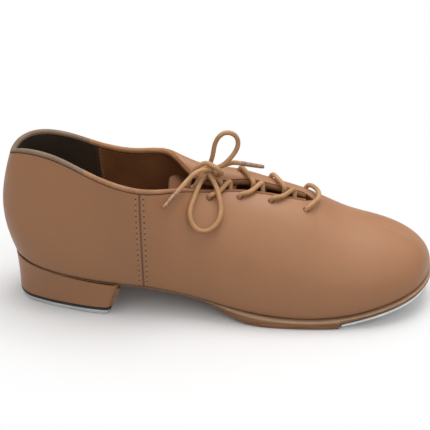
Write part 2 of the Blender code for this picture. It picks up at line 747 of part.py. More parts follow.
def tap_screw(name, foot, axis, length, through, colours):
    """A countersunk screw, its head level with the tap's underside, and the holes that it goes through."""
    sink = 0.0002
    head = SCREW_HEAD - SCREW_SHANK
    heights = (sink, sink + 0.0004, sink + 0.0004 + head * 0.6, length - 0.0008, length)
    radii = (SCREW_HEAD, SCREW_HEAD, SCREW_SHANK, SCREW_SHANK, SCREW_SHANK * 0.5)
    cylinder(name, foot, axis, radii, heights, colours["screw"], 12)
    radii = [SCREW_HEAD + SCREW_FIT] * 2 + [SCREW_SHANK + SCREW_FIT] * 2
    heights = (-0.002, sink + 0.0005, sink + 0.0006 + head * 0.6, length + SCREW_FIT)
    hole = cylinder(name + "_hole", foot, axis, radii, heights, colours["screw"], 12)
    for target in through:
        cut(target, hole)


def heel_nail(name, x, y, radius, through, colours):
    top = board_top(x) - 0.0002
    head = radius * 2.1
    heights = (0, NAIL_LENGTH - 0.0012, NAIL_LENGTH - 0.0007, NAIL_LENGTH)
    foot = (x, y, top - NAIL_LENGTH)
    cylinder(name, foot, (0, 0, 1), (radius * 0.6, radius, head, head), heights, colours["screw"], 10)
    wide = radius + SCREW_FIT
    heights = (-SCREW_FIT, NAIL_LENGTH - 0.0016, NAIL_LENGTH - 0.0011, NAIL_LENGTH + 0.002)
    radii = (wide, wide, head + SCREW_FIT, head + SCREW_FIT)
    hole = cylinder(name + "_hole", foot, (0, 0, 1), radii, heights, colours["screw"], 10)
    for target in through:
        cut(target, hole)


LIE = LACE / 2 + 2 * GAP  # height of the lace's middle over the leather it lies on
HANG = LINING_AT + LINING + LACE / 2 + 3 * GAP  # depth of its middle where it runs inside


def hole_spot(side, row):
    """Middle of a lace hole at the upper's outside, the way out of it and the way to the slit."""
    u = LACE_ROWS[row] * SIDES[side]
    v = 1 - rib_share(u, SETBACKS[side][row])
    slitward = skin(u, v + 0.01) - skin(u, v)
    return skin(u, v), normals(u, v), slitward / np.linalg.norm(slitward)


def punch_lace_holes(colours):
    for side in SIDES:
        for row in range(len(LACE_ROWS)):
            spot, out, _ = hole_spot(side, row)
            name = "lace_hole_%s_%d" % (side, row + 1)
            through = (-HANG, LACE)
            cutter = cylinder(name, spot, out, (LACE_HOLE, LACE_HOLE), through, colours["lining"], 12)
            cut(bpy.data.objects["vamp"], cutter)
            wide = (INNER_HOLE, INNER_HOLE)
            cutter = cylinder(name + "_inner", spot, out, wide, through, colours["lining"], 10)
            cut(bpy.data.objects["front_lining"], cutter)
            cut(bpy.data.objects["eyelet_stay_" + side], cutter)


def on_flap(side, u, setback, height):
    """A point this far from the slit's edge and this high over the upper, or under it where negative."""
    u = u * SIDES[side]
    v = 1 - rib_share(u, setback)
    return skin(u, v) + normals(u, v) * height


RISE, DROP = 0.0026, 0.0052  # how far over and under the slit's edges it turns there
INTO = 0.0005  # how far before a hole's middle it starts down


def to_hole(side, row):
    """The lace's way from the slit over one flap, in through a hole, and back to the slit inside."""
    hole, setback = LACE_ROWS[row], SETBACKS[side][row]
    from_slit = hole - CROSSING[side]
    over = on_flap(side, (from_slit + hole) / 2, setback * 0.5, LIE + GAP)
    before = on_flap(side, hole - 0.02, setback - INTO, LIE - GAP)
    inside = on_flap(side, hole, setback, -HANG / 2)
    under = on_flap(side, hole + 0.06, setback * 0.6, -HANG - GAP)
    return [over, before, inside, under]


def up_the_slit(side, row):
    """The lace's way up between the edges, in front of this row's holes, towards the flap on this side."""
    u = LACE_ROWS[row] - CROSSING[side]
    middle = (top_edge(u) + top_edge(-u)) / 2
    aside = np.array([0, SIDES[side] * 0.0005, 0])
    low = middle + 2 * aside - np.array([0, 0, DROP])
    return [low, middle - aside + np.array([0, 0, RISE])]


CROSSING = {"lateral": 0.56, "medial": 0.32}  # ribs from a hole forward to where the lace comes up to it
BAR_REACH, BAR_RISE = 0.0030, 0.0032  # how far the front bar bulges past the slit's end and over it


def laced(start):
    """Half of the lacing, from the front bar to the last hole on the start side."""
    other = "medial" if start == "lateral" else "lateral"
    setback = SETBACKS[start][0]
    front = LACE_ROWS[0]
    route = [on_flap(start, front - 0.03, setback - INTO, LIE)]
    route += [on_flap(start, front, setback, -HANG / 2)]
    route += [on_flap(start, front + 0.06, setback * 0.6, -HANG - GAP)]
    for row, side in ((1, other), (2, start), (3, other)):
        route += up_the_slit(side, row) + to_hole(side, row)
    return route


# The rest of the lace, in mm: each end's way from the throat to its tip, through the bow.
BOW_UPPER = [
    (111.5, -2.6, 69.5), (115.2, -0.2, 76.5), (119.8, 3.0, 83.0), (122.2, 2.8, 91.0),
    (124.0, 2.6, 99.4), (129.2, 3.0, 104.6), (135.2, 3.0, 102.8), (136.6, 2.4, 96.6),
    (132.8, 0.6, 90.0), (127.4, -1.6, 85.6), (120.8, -3.4, 84.2), (113.8, -6.6, 84.2),
    (107.4, -13.2, 81.2), (102.2, -20.0, 77.9),
]
BOW_LOWER = [
    (108.0, -0.6, 69.8), (109.4, -0.8, 78.0), (113.0, -1.6, 84.4), (118.0, -2.2, 87.4),
    (123.2, -5.4, 86.8), (126.8, -5.6, 83.6), (126.0, -1.0, 79.4), (120.6, 1.6, 78.2),
    (115.6, -5.0, 77.0), (111.8, -14.6, 71.6), (109.4, -22.4, 65.2), (112.0, -26.8, 58.8),
    (117.6, -27.6, 56.2), (123.8, -25.4, 58.4), (127.2, -20.8, 64.0), (126.2, -13.4, 71.2),
    (122.6, -6.4, 78.0), (119.8, -1.2, 81.4), (124.2, 2.8, 82.0), (130.0, 3.4, 83.8),
    (134.2, 3.6, 84.9), (138.6, 3.9, 84.3),
]


def lace_route():
    """Points that the lace runs through, from the left tip to the right one."""
    bar = top_edge(SLIT) + np.array([BAR_REACH, 0, BAR_RISE])
    first = np.array(BOW_UPPER) * MM
    last = np.array(BOW_LOWER) * MM
    front = laced("medial")[::-1] + [bar] + laced("lateral")
    return np.array([*first[::-1], *front, *last])


def smooth_line(points, spacing):
    """Points along a smooth curve through these, about this far apart, and at the points themselves."""
    gaps = np.linalg.norm(np.diff(points, axis=0), axis=1)
    knots = np.concatenate([[0], np.sqrt(gaps).cumsum()])
    curve = spline(knots, points)
    at = [0.0]
    for start, stop, gap in zip(knots, knots[1:], gaps):
        steps = max(1, round(float(gap) / spacing))
        at += list(start + (stop - start) * np.arange(1, steps + 1) / steps)
    return curve(np.array(at))


def make_lace(colours):
    line = smooth_line(lace_route(), 3 * LACE)
    ends = [(line[0], line[0] - line[1]), (line[-1], line[-1] - line[-2])]
    curve = bpy.data.curves.new("lace", "CURVE")
    curve.dimensions = "3D"
    curve.bevel_depth = LACE / 2
    curve.bevel_resolution = 2
    curve.use_fill_caps = True
    run = curve.splines.new("POLY")
    run.points.add(len(line) - 1)
    for point, place in zip(run.points, line - ORIGIN):
        point.co = (*place, 1)
    lace = bpy.data.objects.new("lace", curve)
    bpy.context.scene.collection.objects.link(lace)
    curve.materials.append(colours["lace"])
    for k, (tip, away) in enumerate(ends, 1):
        away = away / np.linalg.norm(away)
        foot = tip + away * GAP
        radii = (LACE / 2, LACE / 2, LACE / 2 - AGLET_WALL, LACE / 2 - 2 * AGLET_WALL)
        heights = (0, AGLET_LENGTH * 0.8, AGLET_LENGTH - AGLET_WALL, AGLET_LENGTH)
        cylinder("aglet_%d" % k, foot, away, radii, heights, colours["lace"], 10)


def make_colours():
    return {
        "leather": material("leather", (0.42, 0.22, 0.12), 0.45),
        "lining": material("lining", (0.36, 0.17, 0.08), 0.8),
        "suede": material("suede", (0.10, 0.06, 0.04), 0.9),
        "binding": material("binding", (0.50, 0.28, 0.14), 0.7),
        "grey_binding": material("grey_binding", (0.30, 0.23, 0.16), 0.8),
        "stiffener": material("stiffener", (0.75, 0.70, 0.60), 0.8),
        "tape": material("tape", (0.80, 0.78, 0.70), 0.9),
        "board": material("board", (0.55, 0.42, 0.28), 0.9),
        "foam": material("foam", (0.85, 0.80, 0.65), 0.9),
        "cork": material("cork", (0.45, 0.28, 0.15), 0.95),
        "sole": material("sole", (0.38, 0.22, 0.12), 0.6),
        "heel": material("heel", (0.42, 0.24, 0.13), 0.6),
        "black": material("black", (0.02, 0.02, 0.02), 0.6),
        "metal": material("metal", (0.75, 0.75, 0.74), 0.3, 1.0),
        "steel": material("steel", (0.60, 0.60, 0.60), 0.4, 1.0),
        "screw": material("screw", (0.65, 0.63, 0.58), 0.35, 1.0),
        "lace": material("lace", (0.60, 0.36, 0.16), 0.7),
    }


def main():
    clear_scene()
    colours = make_colours()
    make_upper(colours)
    make_inner_upper(colours)
    make_bindings(colours)
    make_tongue(colours)
    board, shank, outsole = make_bottom(colours)
    block = make_heel(colours)
    make_taps(colours, board, shank, outsole, block)
    punch_lace_holes(colours)
    make_lace(colours)


main()
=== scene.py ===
# %% [markdown]
# # A tap shoe, from its engineering solids to its looks
#
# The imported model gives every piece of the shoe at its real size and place. This lesson keeps
# those places and makes the surfaces that a person sees: smooth leather drawn over the last, a
# braided lace, ribbed binding tape, a burnished sole edge and two aluminium taps.

# %% Load the frame and note its size
import json
import math

import bmesh
import bpy
import numpy as np
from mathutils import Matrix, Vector

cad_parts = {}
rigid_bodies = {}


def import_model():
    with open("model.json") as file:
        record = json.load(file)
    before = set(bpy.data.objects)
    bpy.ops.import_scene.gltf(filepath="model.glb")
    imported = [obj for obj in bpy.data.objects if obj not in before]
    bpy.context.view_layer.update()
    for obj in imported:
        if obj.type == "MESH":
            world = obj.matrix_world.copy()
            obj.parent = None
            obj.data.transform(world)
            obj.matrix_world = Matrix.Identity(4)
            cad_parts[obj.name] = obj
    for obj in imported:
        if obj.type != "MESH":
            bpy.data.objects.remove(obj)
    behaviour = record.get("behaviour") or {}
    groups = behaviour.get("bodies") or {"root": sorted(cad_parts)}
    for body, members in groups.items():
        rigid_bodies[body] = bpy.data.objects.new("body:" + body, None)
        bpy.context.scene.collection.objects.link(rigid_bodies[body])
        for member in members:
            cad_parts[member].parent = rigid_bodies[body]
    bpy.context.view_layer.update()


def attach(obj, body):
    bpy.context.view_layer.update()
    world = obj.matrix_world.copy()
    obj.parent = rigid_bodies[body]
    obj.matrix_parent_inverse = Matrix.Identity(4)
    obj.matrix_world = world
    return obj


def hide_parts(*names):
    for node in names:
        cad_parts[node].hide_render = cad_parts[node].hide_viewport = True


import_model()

MM = 0.001

# %% [markdown]
# ## Camera
#
# A product view of a shoe is taken with a long lens from a little above, square to its outer side.
# The long lens keeps the toe and the heel the same size. A small lens shift places the shoe in the
# frame without turning the camera.

# %% Camera
AIM = Vector((-0.0007, 0.0026, 0.045))
TURN, LIFT, AWAY = math.radians(1.26), math.radians(29.87), 0.884
camera = bpy.data.cameras.new("camera")
camera.lens = 123.65
camera.sensor_width = 36.0
camera.shift_x, camera.shift_y = -0.0063, 0.0221
camera.clip_start = 0.01
eye = bpy.data.objects.new("camera", camera)
back = Vector((math.sin(TURN) * math.cos(LIFT), -math.cos(TURN) * math.cos(LIFT), math.sin(LIFT)))
eye.location = AIM + back * AWAY
eye.rotation_euler = back.to_track_quat("Z", "Y").to_euler()
bpy.context.scene.collection.objects.link(eye)
bpy.context.scene.camera = eye
bpy.context.scene.view_settings.view_transform = "Standard"
print("camera at", [round(v, 3) for v in eye.location])

# %% [markdown]
# ## The surface of the last
#
# A shoe is built over a last, a solid foot shape. Here the outside of the upper is made of ribs.
# Rib u stands on the feather edge, where upper meets sole, and runs up to the topline, or to the
# ridge over the instep. u is 0 at the toe tip, 14 at the back of the heel and negative on the outer
# side. v goes from 0 at the feather edge to 1 at the top. Splines through fifteen ribs give
# the whole surface, and every layer of the shoe is this surface moved in by its depth.

# %% Ribs, in millimetres from the back of the heel
ORIGIN = np.array([0.1257, -0.0026, 0.0])
RIBS = MM * np.array([
    (253.0, 0.0, 253.0, 0.0, 212.0, 3.0, 48.5, 212.0, 3.0, 48.5),
    (249.5, -15.0, 250.0, 14.0, 209.0, 3.0, 49.8, 209.0, 3.0, 49.8),
    (239.5, -28.5, 241.0, 25.5, 203.0, 2.3, 52.3, 203.0, 2.3, 52.3),
    (219.0, -39.0, 223.0, 34.0, 194.0, 1.3, 55.8, 194.0, 1.3, 55.8),
    (190.0, -43.5, 194.0, 38.5, 182.0, 0.0, 62.8, 182.0, 0.0, 62.8),
    (162.0, -43.0, 164.0, 36.5, 160.0, -0.4, 68.5, 160.0, -0.4, 68.9),
    (137.0, -39.5, 138.0, 31.5, 138.0, -0.6, 71.3, 138.0, -0.6, 72.3),
    (116.0, -34.5, 116.0, 28.0, 118.0, -3.6, 72.2, 115.0, -1.2, 73.2),
    (99.0, -32.0, 99.0, 27.5, 100.0, -17.0, 78.0, 96.0, 15.0, 85.5),
    (82.0, -31.0, 82.0, 28.0, 81.0, -29.5, 83.5, 78.0, 22.0, 85.0),
    (60.0, -30.5, 60.0, 29.0, 58.0, -26.5, 89.0, 56.0, 25.5, 86.5),
    (38.0, -29.0, 38.0, 28.5, 36.0, -20.5, 97.8, 36.0, 22.0, 95.0),
    (20.0, -24.0, 20.0, 24.0, 18.0, -13.0, 100.0, 19.0, 15.5, 100.0),
    (8.0, -13.5, 8.0, 13.5, 7.5, -6.5, 97.6, 8.0, 7.5, 98.6),
    (4.0, 0.0, 4.0, 0.0, 4.5, 0.0, 95.3, 4.5, 0.0, 95.3),
])
HANDLES = MM * np.array([
    (3.0, 22.0, 20.0, -3.0, 17.5, -7.5),
    (3.0, 22.0, 20.0, -3.0, 17.0, -6.0),
    (3.5, 22.0, 20.0, -3.0, 16.5, -3.5),
    (4.0, 23.0, 21.0, -3.5, 16.5, -1.0),
    (4.5, 24.0, 23.0, -4.5, 18.0, 5.5),
    (5.0, 24.0, 23.0, -5.0, 19.5, 12.0),
    (5.0, 24.0, 20.0, -6.0, 21.0, 21.0),
    (4.0, 24.0, 17.0, -8.0, 21.5, 28.5),
    (3.0, 24.0, 9.0, -12.0, 12.0, 6.0),
    (3.0, 22.0, 3.0, -20.0, 5.0, -16.0),
    (3.0, 22.0, 3.5, -24.0, 4.5, -22.0),
    (3.0, 22.0, 6.5, -28.0, 6.5, -26.0),
    (4.5, 22.0, 8.0, -30.0, 8.0, -30.0),
    (7.5, 22.0, 9.0, -30.0, 9.0, -30.0),
    (8.5, 22.0, 9.5, -30.0, 9.5, -30.0),
])
SEAT = MM * np.array([
    (0.0, 30.0), (15.0, 28.29), (30.0, 25.8), (60.0, 20.99), (83.0, 18.48), (110.0, 13.99), (140.0, 8.6),
    (165.0, 5.795), (185.0, 5.6), (205.0, 7.6), (225.0, 11.6), (240.0, 15.0), (256.0, 19.0),
])
SLIT, HEEL, PAST_HEEL, SIDE_SEAM = 4, 14, 6, 9.0
SLIT_HALF = 0.0028
print(len(RIBS), "ribs")


# %% Splines through the ribs
def spline(knots, values):
    """A natural cubic spline through the values at the knots, as a function."""
    values = np.asarray(values, float)
    count, step = len(knots), np.diff(knots)
    system, bend = np.zeros((count, count)), np.zeros(values.shape)
    system[0, 0] = system[-1, -1] = 1
    slope = np.diff(values, axis=0) / step.reshape(-1, *[1] * (values.ndim - 1))
    for i in range(1, count - 1):
        system[i, i - 1 : i + 2] = step[i - 1], 2 * (step[i - 1] + step[i]), step[i]
        bend[i] = 6 * (slope[i] - slope[i - 1])
    bend = np.linalg.solve(system, bend)

    def at(x):
        x = np.asarray(x, float)
        k = np.clip(np.searchsorted(knots, x, side="right") - 1, 0, count - 2)
        before, after, width = x - knots[k], knots[k + 1] - x, step[k]
        if values.ndim > 1:
            before, after, width = before[..., None], after[..., None], width[..., None]
        return (
            (bend[k] * after**3 + bend[k + 1] * before**3) / (6 * width)
            + (values[k] / width - bend[k] * width / 6) * after
            + (values[k + 1] / width - bend[k + 1] * width / 6) * before
        )

    return at


turns = np.arange(-HEEL - PAST_HEEL, HEEL + PAST_HEEL + 1)
wrapped = (turns + HEEL) % (2 * HEEL) - HEEL
rows, outer = abs(wrapped), (wrapped < 0)[:, None]
middle, half = (RIBS[:, 4:7] + RIBS[:, 7:10]) / 2, (RIBS[:, 7:10] - RIBS[:, 4:7]) / 2
open_rows = np.arange(SLIT, HEEL + PAST_HEEL + 1)
spread = [half[k] if k <= HEEL else -half[2 * HEEL - k] for k in open_rows]
spread[0] = half[SLIT] * 0
FEATHER = spline(turns, np.where(outer, RIBS[rows, 0:2], RIBS[rows, 2:4]))
HANDLE = spline(turns, np.where(outer, HANDLES[rows][:, [0, 1, 2, 3]], HANDLES[rows][:, [0, 1, 4, 5]]))
TOP_MIDDLE, TOP_SPREAD = spline(turns, middle[rows]), spline(open_rows, spread)
seat_height = spline(SEAT[:, 0], SEAT[:, 1])
STEP = 1e-3
print("seat at the heel and the ball:", [round(float(seat_height(x)) / MM, 1) for x in (0, 0.18)], "mm")


# %% Points and normals of the upper
def top_edge(u):
    """The top end of rib u. Past the slit's front the two sides part."""
    u = np.asarray(u, float)
    past = np.maximum(abs(u) - SLIT, 0)
    gape = SLIT_HALF * (1 - np.exp(-past / 0.3)) * (1 - np.clip((past - 2.4) / 1.2, 0, 1) ** 2)
    apart = np.where(past[..., None] > 0, TOP_SPREAD(SLIT + past), 0) + gape[..., None] * np.array([0, 1, 0])
    return TOP_MIDDLE(u) + np.sign(u)[..., None] * apart


def outward(u):
    """The level direction out of the shoe at the feather edge."""
    along = FEATHER(u + STEP) - FEATHER(u - STEP)
    out = np.stack([along[..., 1], -along[..., 0], 0 * along[..., 0]], -1)
    return out / np.linalg.norm(out, axis=-1, keepdims=True)


MARGIN = 0.010  # how far the leather is lasted in under the insole


def skin(u, v):
    """A point of the upper's outside: a Bezier curve up rib u. Below v = 0 it is tucked under the insole."""
    u, v = np.broadcast_arrays(np.asarray(u, float), np.asarray(v, float))
    out, up = outward(u), np.array([0, 0, 1.0])
    flat, handle, top = FEATHER(u), HANDLE(u), top_edge(u)
    base = np.concatenate([flat, seat_height(flat[..., 0])[..., None]], -1)
    low = base + out * handle[..., 0:1] + up * handle[..., 1:2]
    high = top + out * handle[..., 2:3] + up * handle[..., 3:4]
    t = np.clip(v, 0, 1)[..., None]
    wall = (1 - t) ** 3 * base + 3 * (1 - t) ** 2 * t * low + 3 * (1 - t) * t**2 * high + t**3 * top
    tucked = base + out * MARGIN * np.minimum(v, 0)[..., None]
    tucked[..., 2] = seat_height(tucked[..., 0])
    return np.where(v[..., None] < 0, tucked, wall)


def run_along(line):
    """How far each point of a line is from its start."""
    return np.concatenate([[0], np.linalg.norm(np.diff(line, axis=0), axis=1).cumsum()])


def unit(vectors):
    return vectors / np.linalg.norm(vectors, axis=-1, keepdims=True)


def ridge_normals(u):
    """Normals on the ridge in front of the slit, where both sides meet."""
    u = np.maximum(abs(u), 0.5)
    along = TOP_MIDDLE(u - STEP) - TOP_MIDDLE(u + STEP)
    lean = (HANDLE(u)[..., 3] - HANDLE(-u)[..., 3]) / (HANDLE(u)[..., 2] + HANDLE(-u)[..., 2])
    return unit(np.cross(along, np.stack([0 * u, 1 + 0 * u, lean], -1)))


def normals(u, v):
    """Directions out of the upper."""
    u, v = np.broadcast_arrays(np.asarray(u, float), np.asarray(v, float))
    inside = np.minimum(v, 0.97)
    across = skin(u + STEP, inside) - skin(u - STEP, inside)
    up = skin(u, inside + STEP) - skin(u, inside - STEP)
    ridge = ((abs(u) <= SLIT) & (v > 0.999))[..., None]
    return np.where(ridge, ridge_normals(u), unit(np.cross(across, up)))


def rib_share(u, length):
    """How much of rib u, near its top, this length is."""
    v = np.linspace(0.7, 1, 31)
    run = np.linalg.norm(np.diff(skin(np.full(31, float(u)), v), axis=0), axis=1)[::-1].cumsum()
    return float(np.interp(length, np.concatenate([[0], run]), 1 - v[::-1]))


print("topline at the heel", [round(float(c) / MM, 1) for c in top_edge(HEEL)])

# %% [markdown]
# ## Making a sheet
#
# A sheet of leather starts as Blender's grid primitive. Its squares are laid on the ribs, the two
# sides are merged along the ridge, and a Solidify modifier gives it its thickness inwards. The grid's
# own UV map is kept but rewritten in metres, so that a row of stitches can be placed by
# distance.


# %% A grid laid on a surface
def deselect():
    if bpy.context.mode != "OBJECT":
        bpy.ops.object.mode_set(mode="OBJECT")
    bpy.ops.object.select_all(action="DESELECT")


def pick(piece):
    deselect()
    piece.select_set(True)
    bpy.context.view_layer.objects.active = piece


def stand_in(piece, node, body="shoe"):
    """Puts the piece on its body, in place of a node."""
    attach(piece, body)
    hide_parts(node)


MERGE = 2e-6


def grid_piece(name, points, flat=None):
    """A grid primitive with its vertices at points[i, j] and its UV at flat[i, j], in metres."""
    across, up = points.shape[0] - 1, points.shape[1] - 1
    deselect()
    bpy.ops.mesh.primitive_grid_add(x_subdivisions=across, y_subdivisions=up, size=1)
    made = bpy.context.object
    made.name = made.data.name = name
    count = len(made.data.vertices)
    spots = np.empty(count * 3)
    made.data.vertices.foreach_get("co", spots)
    spots = spots.reshape(-1, 3)
    i = np.rint((spots[:, 0] + 0.5) * across).astype(int)
    j = np.rint((spots[:, 1] + 0.5) * up).astype(int)
    made.data.vertices.foreach_set("co", (points[i, j] - ORIGIN).ravel())
    if flat is not None:
        corners = np.empty(len(made.data.loops), int)
        made.data.loops.foreach_get("vertex_index", corners)
        made.data.uv_layers.active.data.foreach_set("uv", flat[i, j][corners].ravel())
    bpy.ops.object.mode_set(mode="EDIT")
    bpy.ops.mesh.select_all(action="SELECT")
    bpy.ops.mesh.remove_doubles(threshold=MERGE)
    bpy.ops.object.mode_set(mode="OBJECT")
    made.data.update()
    return made


def thicken(piece, thickness):
    wall = piece.modifiers.new("wall", "SOLIDIFY")
    wall.thickness = thickness
    wall.offset = -1
    wall.use_even_offset = False
    bpy.ops.object.modifier_apply(modifier=wall.name)
    return piece


def smooth(piece, angle=50):
    pick(piece)
    bpy.ops.object.shade_smooth_by_angle(angle=math.radians(angle))


def closed_loft(name, rings, flat=None):
    """A solid through closed rings of points, with its ends filled."""
    rings = np.concatenate([rings, rings[:, :1]], axis=1)
    piece = grid_piece(name, rings, flat)
    bpy.ops.object.mode_set(mode="EDIT")
    bpy.ops.mesh.select_all(action="SELECT")
    bpy.ops.mesh.fill_holes(sides=0)
    bpy.ops.mesh.normals_make_consistent(inside=False)
    bpy.ops.object.mode_set(mode="OBJECT")
    return piece


# %% [markdown]
# ## Vamp and quarter
#
# Two pieces of smooth leather make the upper. The vamp covers the toe and carries the lace holes, and
# the quarter wraps the heel. They meet in a straight seam up each side, sewn and rubbed flat, with a
# row of stitches on each side of it. The leather dips into the seam and rolls over the feather edge.

# %% Leather sheets
LEATHER, STIFFENER, LINING, GAP = 0.0012, 0.0008, 0.0008, 0.0003
LINING_AT = LEATHER + GAP + STIFFENER + GAP
BINDING_HEIGHT = 0.0020
SEAM_DIP, SEAM_REACH = 0.00055, 0.0008


def upper_top(u, short=0.0):
    ease = min(max((abs(u) - SLIT) / 0.3, 0), 1)
    return 1 - ease * rib_share(u, BINDING_HEIGHT + 2 * GAP + short)


def sheet_points(us, low, high, rows, depth, tucked=False):
    """The sheet's points and, as UV, each one's distance from the seam and its height up the rib."""
    share = np.linspace(0, 1, rows + 1)
    v = np.array([low(u) + (high(u) - low(u)) * share for u in us])
    if tucked:
        v = np.concatenate([np.full((len(us), 1), -0.5), np.full((len(us), 1), -0.22), v], axis=1)
    u = np.repeat(np.asarray(us)[:, None], v.shape[1], axis=1)
    points = skin(u, v)
    out = normals(u, np.clip(v, 0.02, 1))
    steps = np.linalg.norm(np.diff(points, axis=0), axis=2)
    run = np.concatenate([np.zeros((1, v.shape[1])), steps.cumsum(0)])
    climb = np.linalg.norm(np.diff(points, axis=1), axis=2).cumsum(1)
    climb = np.concatenate([np.zeros((len(us), 1)), climb], axis=1)
    away = np.minimum(run, run[-1:] - run)
    dip = depth + SEAM_DIP * np.exp(-((away / SEAM_REACH) ** 2))
    points = points - out * dip[..., None]
    if tucked:
        for _ in range(5):
            points[:, 1:6] = (points[:, :5] + 2 * points[:, 1:6] + points[:, 2:7]) / 4
    return points, np.stack([away, climb], -1)


def rib_run(start, stop, per_rib):
    """Ribs from start to stop, closer together next to both ends, where the seams are."""
    count = round((stop - start) * per_rib)
    inner = np.linspace(start, stop, count + 1)
    close = np.array([0.012, 0.025, 0.04, 0.055])
    return np.concatenate([[start], start + close, inner[1:-1], stop - close[::-1], [stop]])


def leather_sheet(name, start, stop, node):
    points, flat = sheet_points(rib_run(start, stop, 13), lambda u: 0.0, upper_top, 60, 0.0, tucked=True)
    piece = thicken(grid_piece(name, points, flat), LEATHER)
    smooth(piece)
    stand_in(piece, node)
    print(name, len(piece.data.polygons), "faces")
    return piece


vamp = leather_sheet("vamp_leather", -SIDE_SEAM, SIDE_SEAM, "vamp")
quarter = leather_sheet("quarter_leather", SIDE_SEAM, 2 * HEEL - SIDE_SEAM, "quarter")

# %% [markdown]
# The lace holes are plain punched holes. A Boolean with one cylinder a hole cuts the leather, and
# wider ones cut the lining behind it.

# %% Lace holes
LACE, LACE_ROWS = 0.0028, (4.27, 5.13, 5.95, 6.82)
SIDES = {"lateral": -1, "medial": 1}
SETBACKS = {"lateral": (0.0092, 0.0068, 0.0062, 0.0062), "medial": (0.0108, 0.0104, 0.0100, 0.0100)}


def on_flap(side, u, setback, height):
    """A point this far from the slit's edge and this high over the upper."""
    u = u * SIDES[side]
    v = 1 - rib_share(u, setback)
    return skin(u, v) + normals(u, v) * height


def cut_with(piece, cutters):
    for cutter in cutters:
        cut = piece.modifiers.new("cut", "BOOLEAN")
        cut.object = cutter
        cut.solver = "EXACT"
    pick(piece)
    for cut in list(piece.modifiers):
        bpy.ops.object.modifier_apply(modifier=cut.name)
    for cutter in cutters:
        bpy.data.objects.remove(cutter)


def punch(piece, radius):
    cutters = []
    for side in SIDES:
        for hole, setback in zip(LACE_ROWS, SETBACKS[side]):
            spot = on_flap(side, hole, setback, 0.0)
            turn = Vector(on_flap(side, hole, setback, 1.0) - spot).to_track_quat("Z", "Y").to_euler()
            deselect()
            bpy.ops.mesh.primitive_cylinder_add(
                vertices=24, radius=radius, depth=0.012, location=spot - ORIGIN, rotation=turn)
            cutters.append(bpy.context.object)
    cut_with(piece, cutters)


LACE_HOLE, INNER_HOLE = 0.0019, 0.0032  # radii
punch(vamp, LACE_HOLE)
print("holes punched:", 2 * len(LACE_ROWS))

# %% [markdown]
# ## Linings
#
# Inside, a soft leather lines the front and a dark suede grips the heel. They meet a third of the way
# back from the side seam, where two rows of stitches show.

# %% Linings
LINING_SEAM = 10.15


def lining_sheet(name, start, stop, node):
    us = rib_run(start, stop, 9)
    points, flat = sheet_points(us, lambda u: 0.07, lambda u: upper_top(u, 0.0004), 36, LINING_AT)
    piece = thicken(grid_piece(name, points, flat), LINING)
    smooth(piece)
    stand_in(piece, node)
    return piece


front_lining = lining_sheet("front_lining_leather", -LINING_SEAM, LINING_SEAM, "front_lining")
heel_lining = lining_sheet(
    "heel_lining_suede", LINING_SEAM, 2 * HEEL - LINING_SEAM, "heel_lining")
punch(front_lining, INNER_HOLE)
print("linings", len(front_lining.data.polygons), len(heel_lining.data.polygons))

# %% [markdown]
# ## Topline binding
#
# A narrow ribbed tape is folded over the raw edges of leather and lining, all the way round the collar
# and down both sides of the slit. It is a bead with a rounded section, slimmer above than
# below, swept along the top edge. The tape behind the lining seam is greyer than the one in front of it.

# %% Binding tape
BINDING_SEAM, BEAD_SIDES = 10.4, 14


def binding_tape(name, start, stop, node):
    us = np.linspace(start, stop, max(60, round(abs(stop - start) * 28)))
    half_thick = (LINING_AT + LINING) / 2
    v = np.array([1 - rib_share(u, BINDING_HEIGHT / 2) for u in us])
    out = normals(us, v)
    centre = skin(us, v) - out * half_thick
    up = unit(skin(us, v + STEP) - skin(us, v - STEP))
    turn = np.linspace(0, 2 * math.pi, BEAD_SIDES, endpoint=False)
    wide, tall = half_thick * 1.16, BINDING_HEIGHT / 2 + GAP
    square = (abs(np.cos(turn)) ** 4 + abs(np.sin(turn)) ** 4) ** -0.25
    slim = 1 - 0.20 * (1 + np.sin(turn))
    section = wide * (slim * square * np.cos(turn))[None, :, None] * out[:, None]
    rings = centre[:, None] + section + tall * (square * np.sin(turn))[None, :, None] * up[:, None]
    run = run_along(centre)
    around = np.linspace(0, 0.011, BEAD_SIDES + 1)
    flat = np.stack(np.broadcast_arrays(run[:, None], around[None]), -1)
    piece = closed_loft(name, rings, flat)
    smooth(piece, 60)
    stand_in(piece, node)
    return piece


SLIT_END = SLIT + 0.25
bindings = [binding_tape("binding_tape_" + place, start, stop, "collar_binding_" + node)
            for place, start, stop, node, slot in (
                ("rear", BINDING_SEAM, 2 * HEEL - BINDING_SEAM, "rear", "rear_binding"),
                ("outer", -SLIT_END, -BINDING_SEAM, "lateral", "front_binding"),
                ("inner", SLIT_END, BINDING_SEAM, "medial", "front_binding"))]
print("binding pieces:", len(bindings))

# %% [markdown]
# ## Tongue
#
# The tongue is a strip of thin leather under the laces, sewn in at the front of the slit. Its rear
# end is round and shows in the throat of the shoe. It rides on its own body, because the
# wearer can push it down.

# %% Tongue
TONGUE, TONGUE_HALF, TONGUE_ROOT_HALF = 0.0016, 0.015, 0.0095
TONGUE_FROM, TONGUE_TO = 0.096, 0.198
TONGUE_LINE = spline(MM * np.array([96, 101, 106, 112, 118, 138, 160, 170, 178, 190, 198]),
                     MM * np.array([73.5, 70.5, 67.0, 63.8, 62.0, 60.2, 57.6, 55.4, 54.2, 52.8, 49.3]))


def blend(x, x0, x1, y0, y1):
    """From y0 at x0 to y1 at x1, level outside them and smooth between."""
    share = np.clip((x - x0) / (x1 - x0), 0, 1)
    return y0 + (y1 - y0) * share * share * (3 - 2 * share)


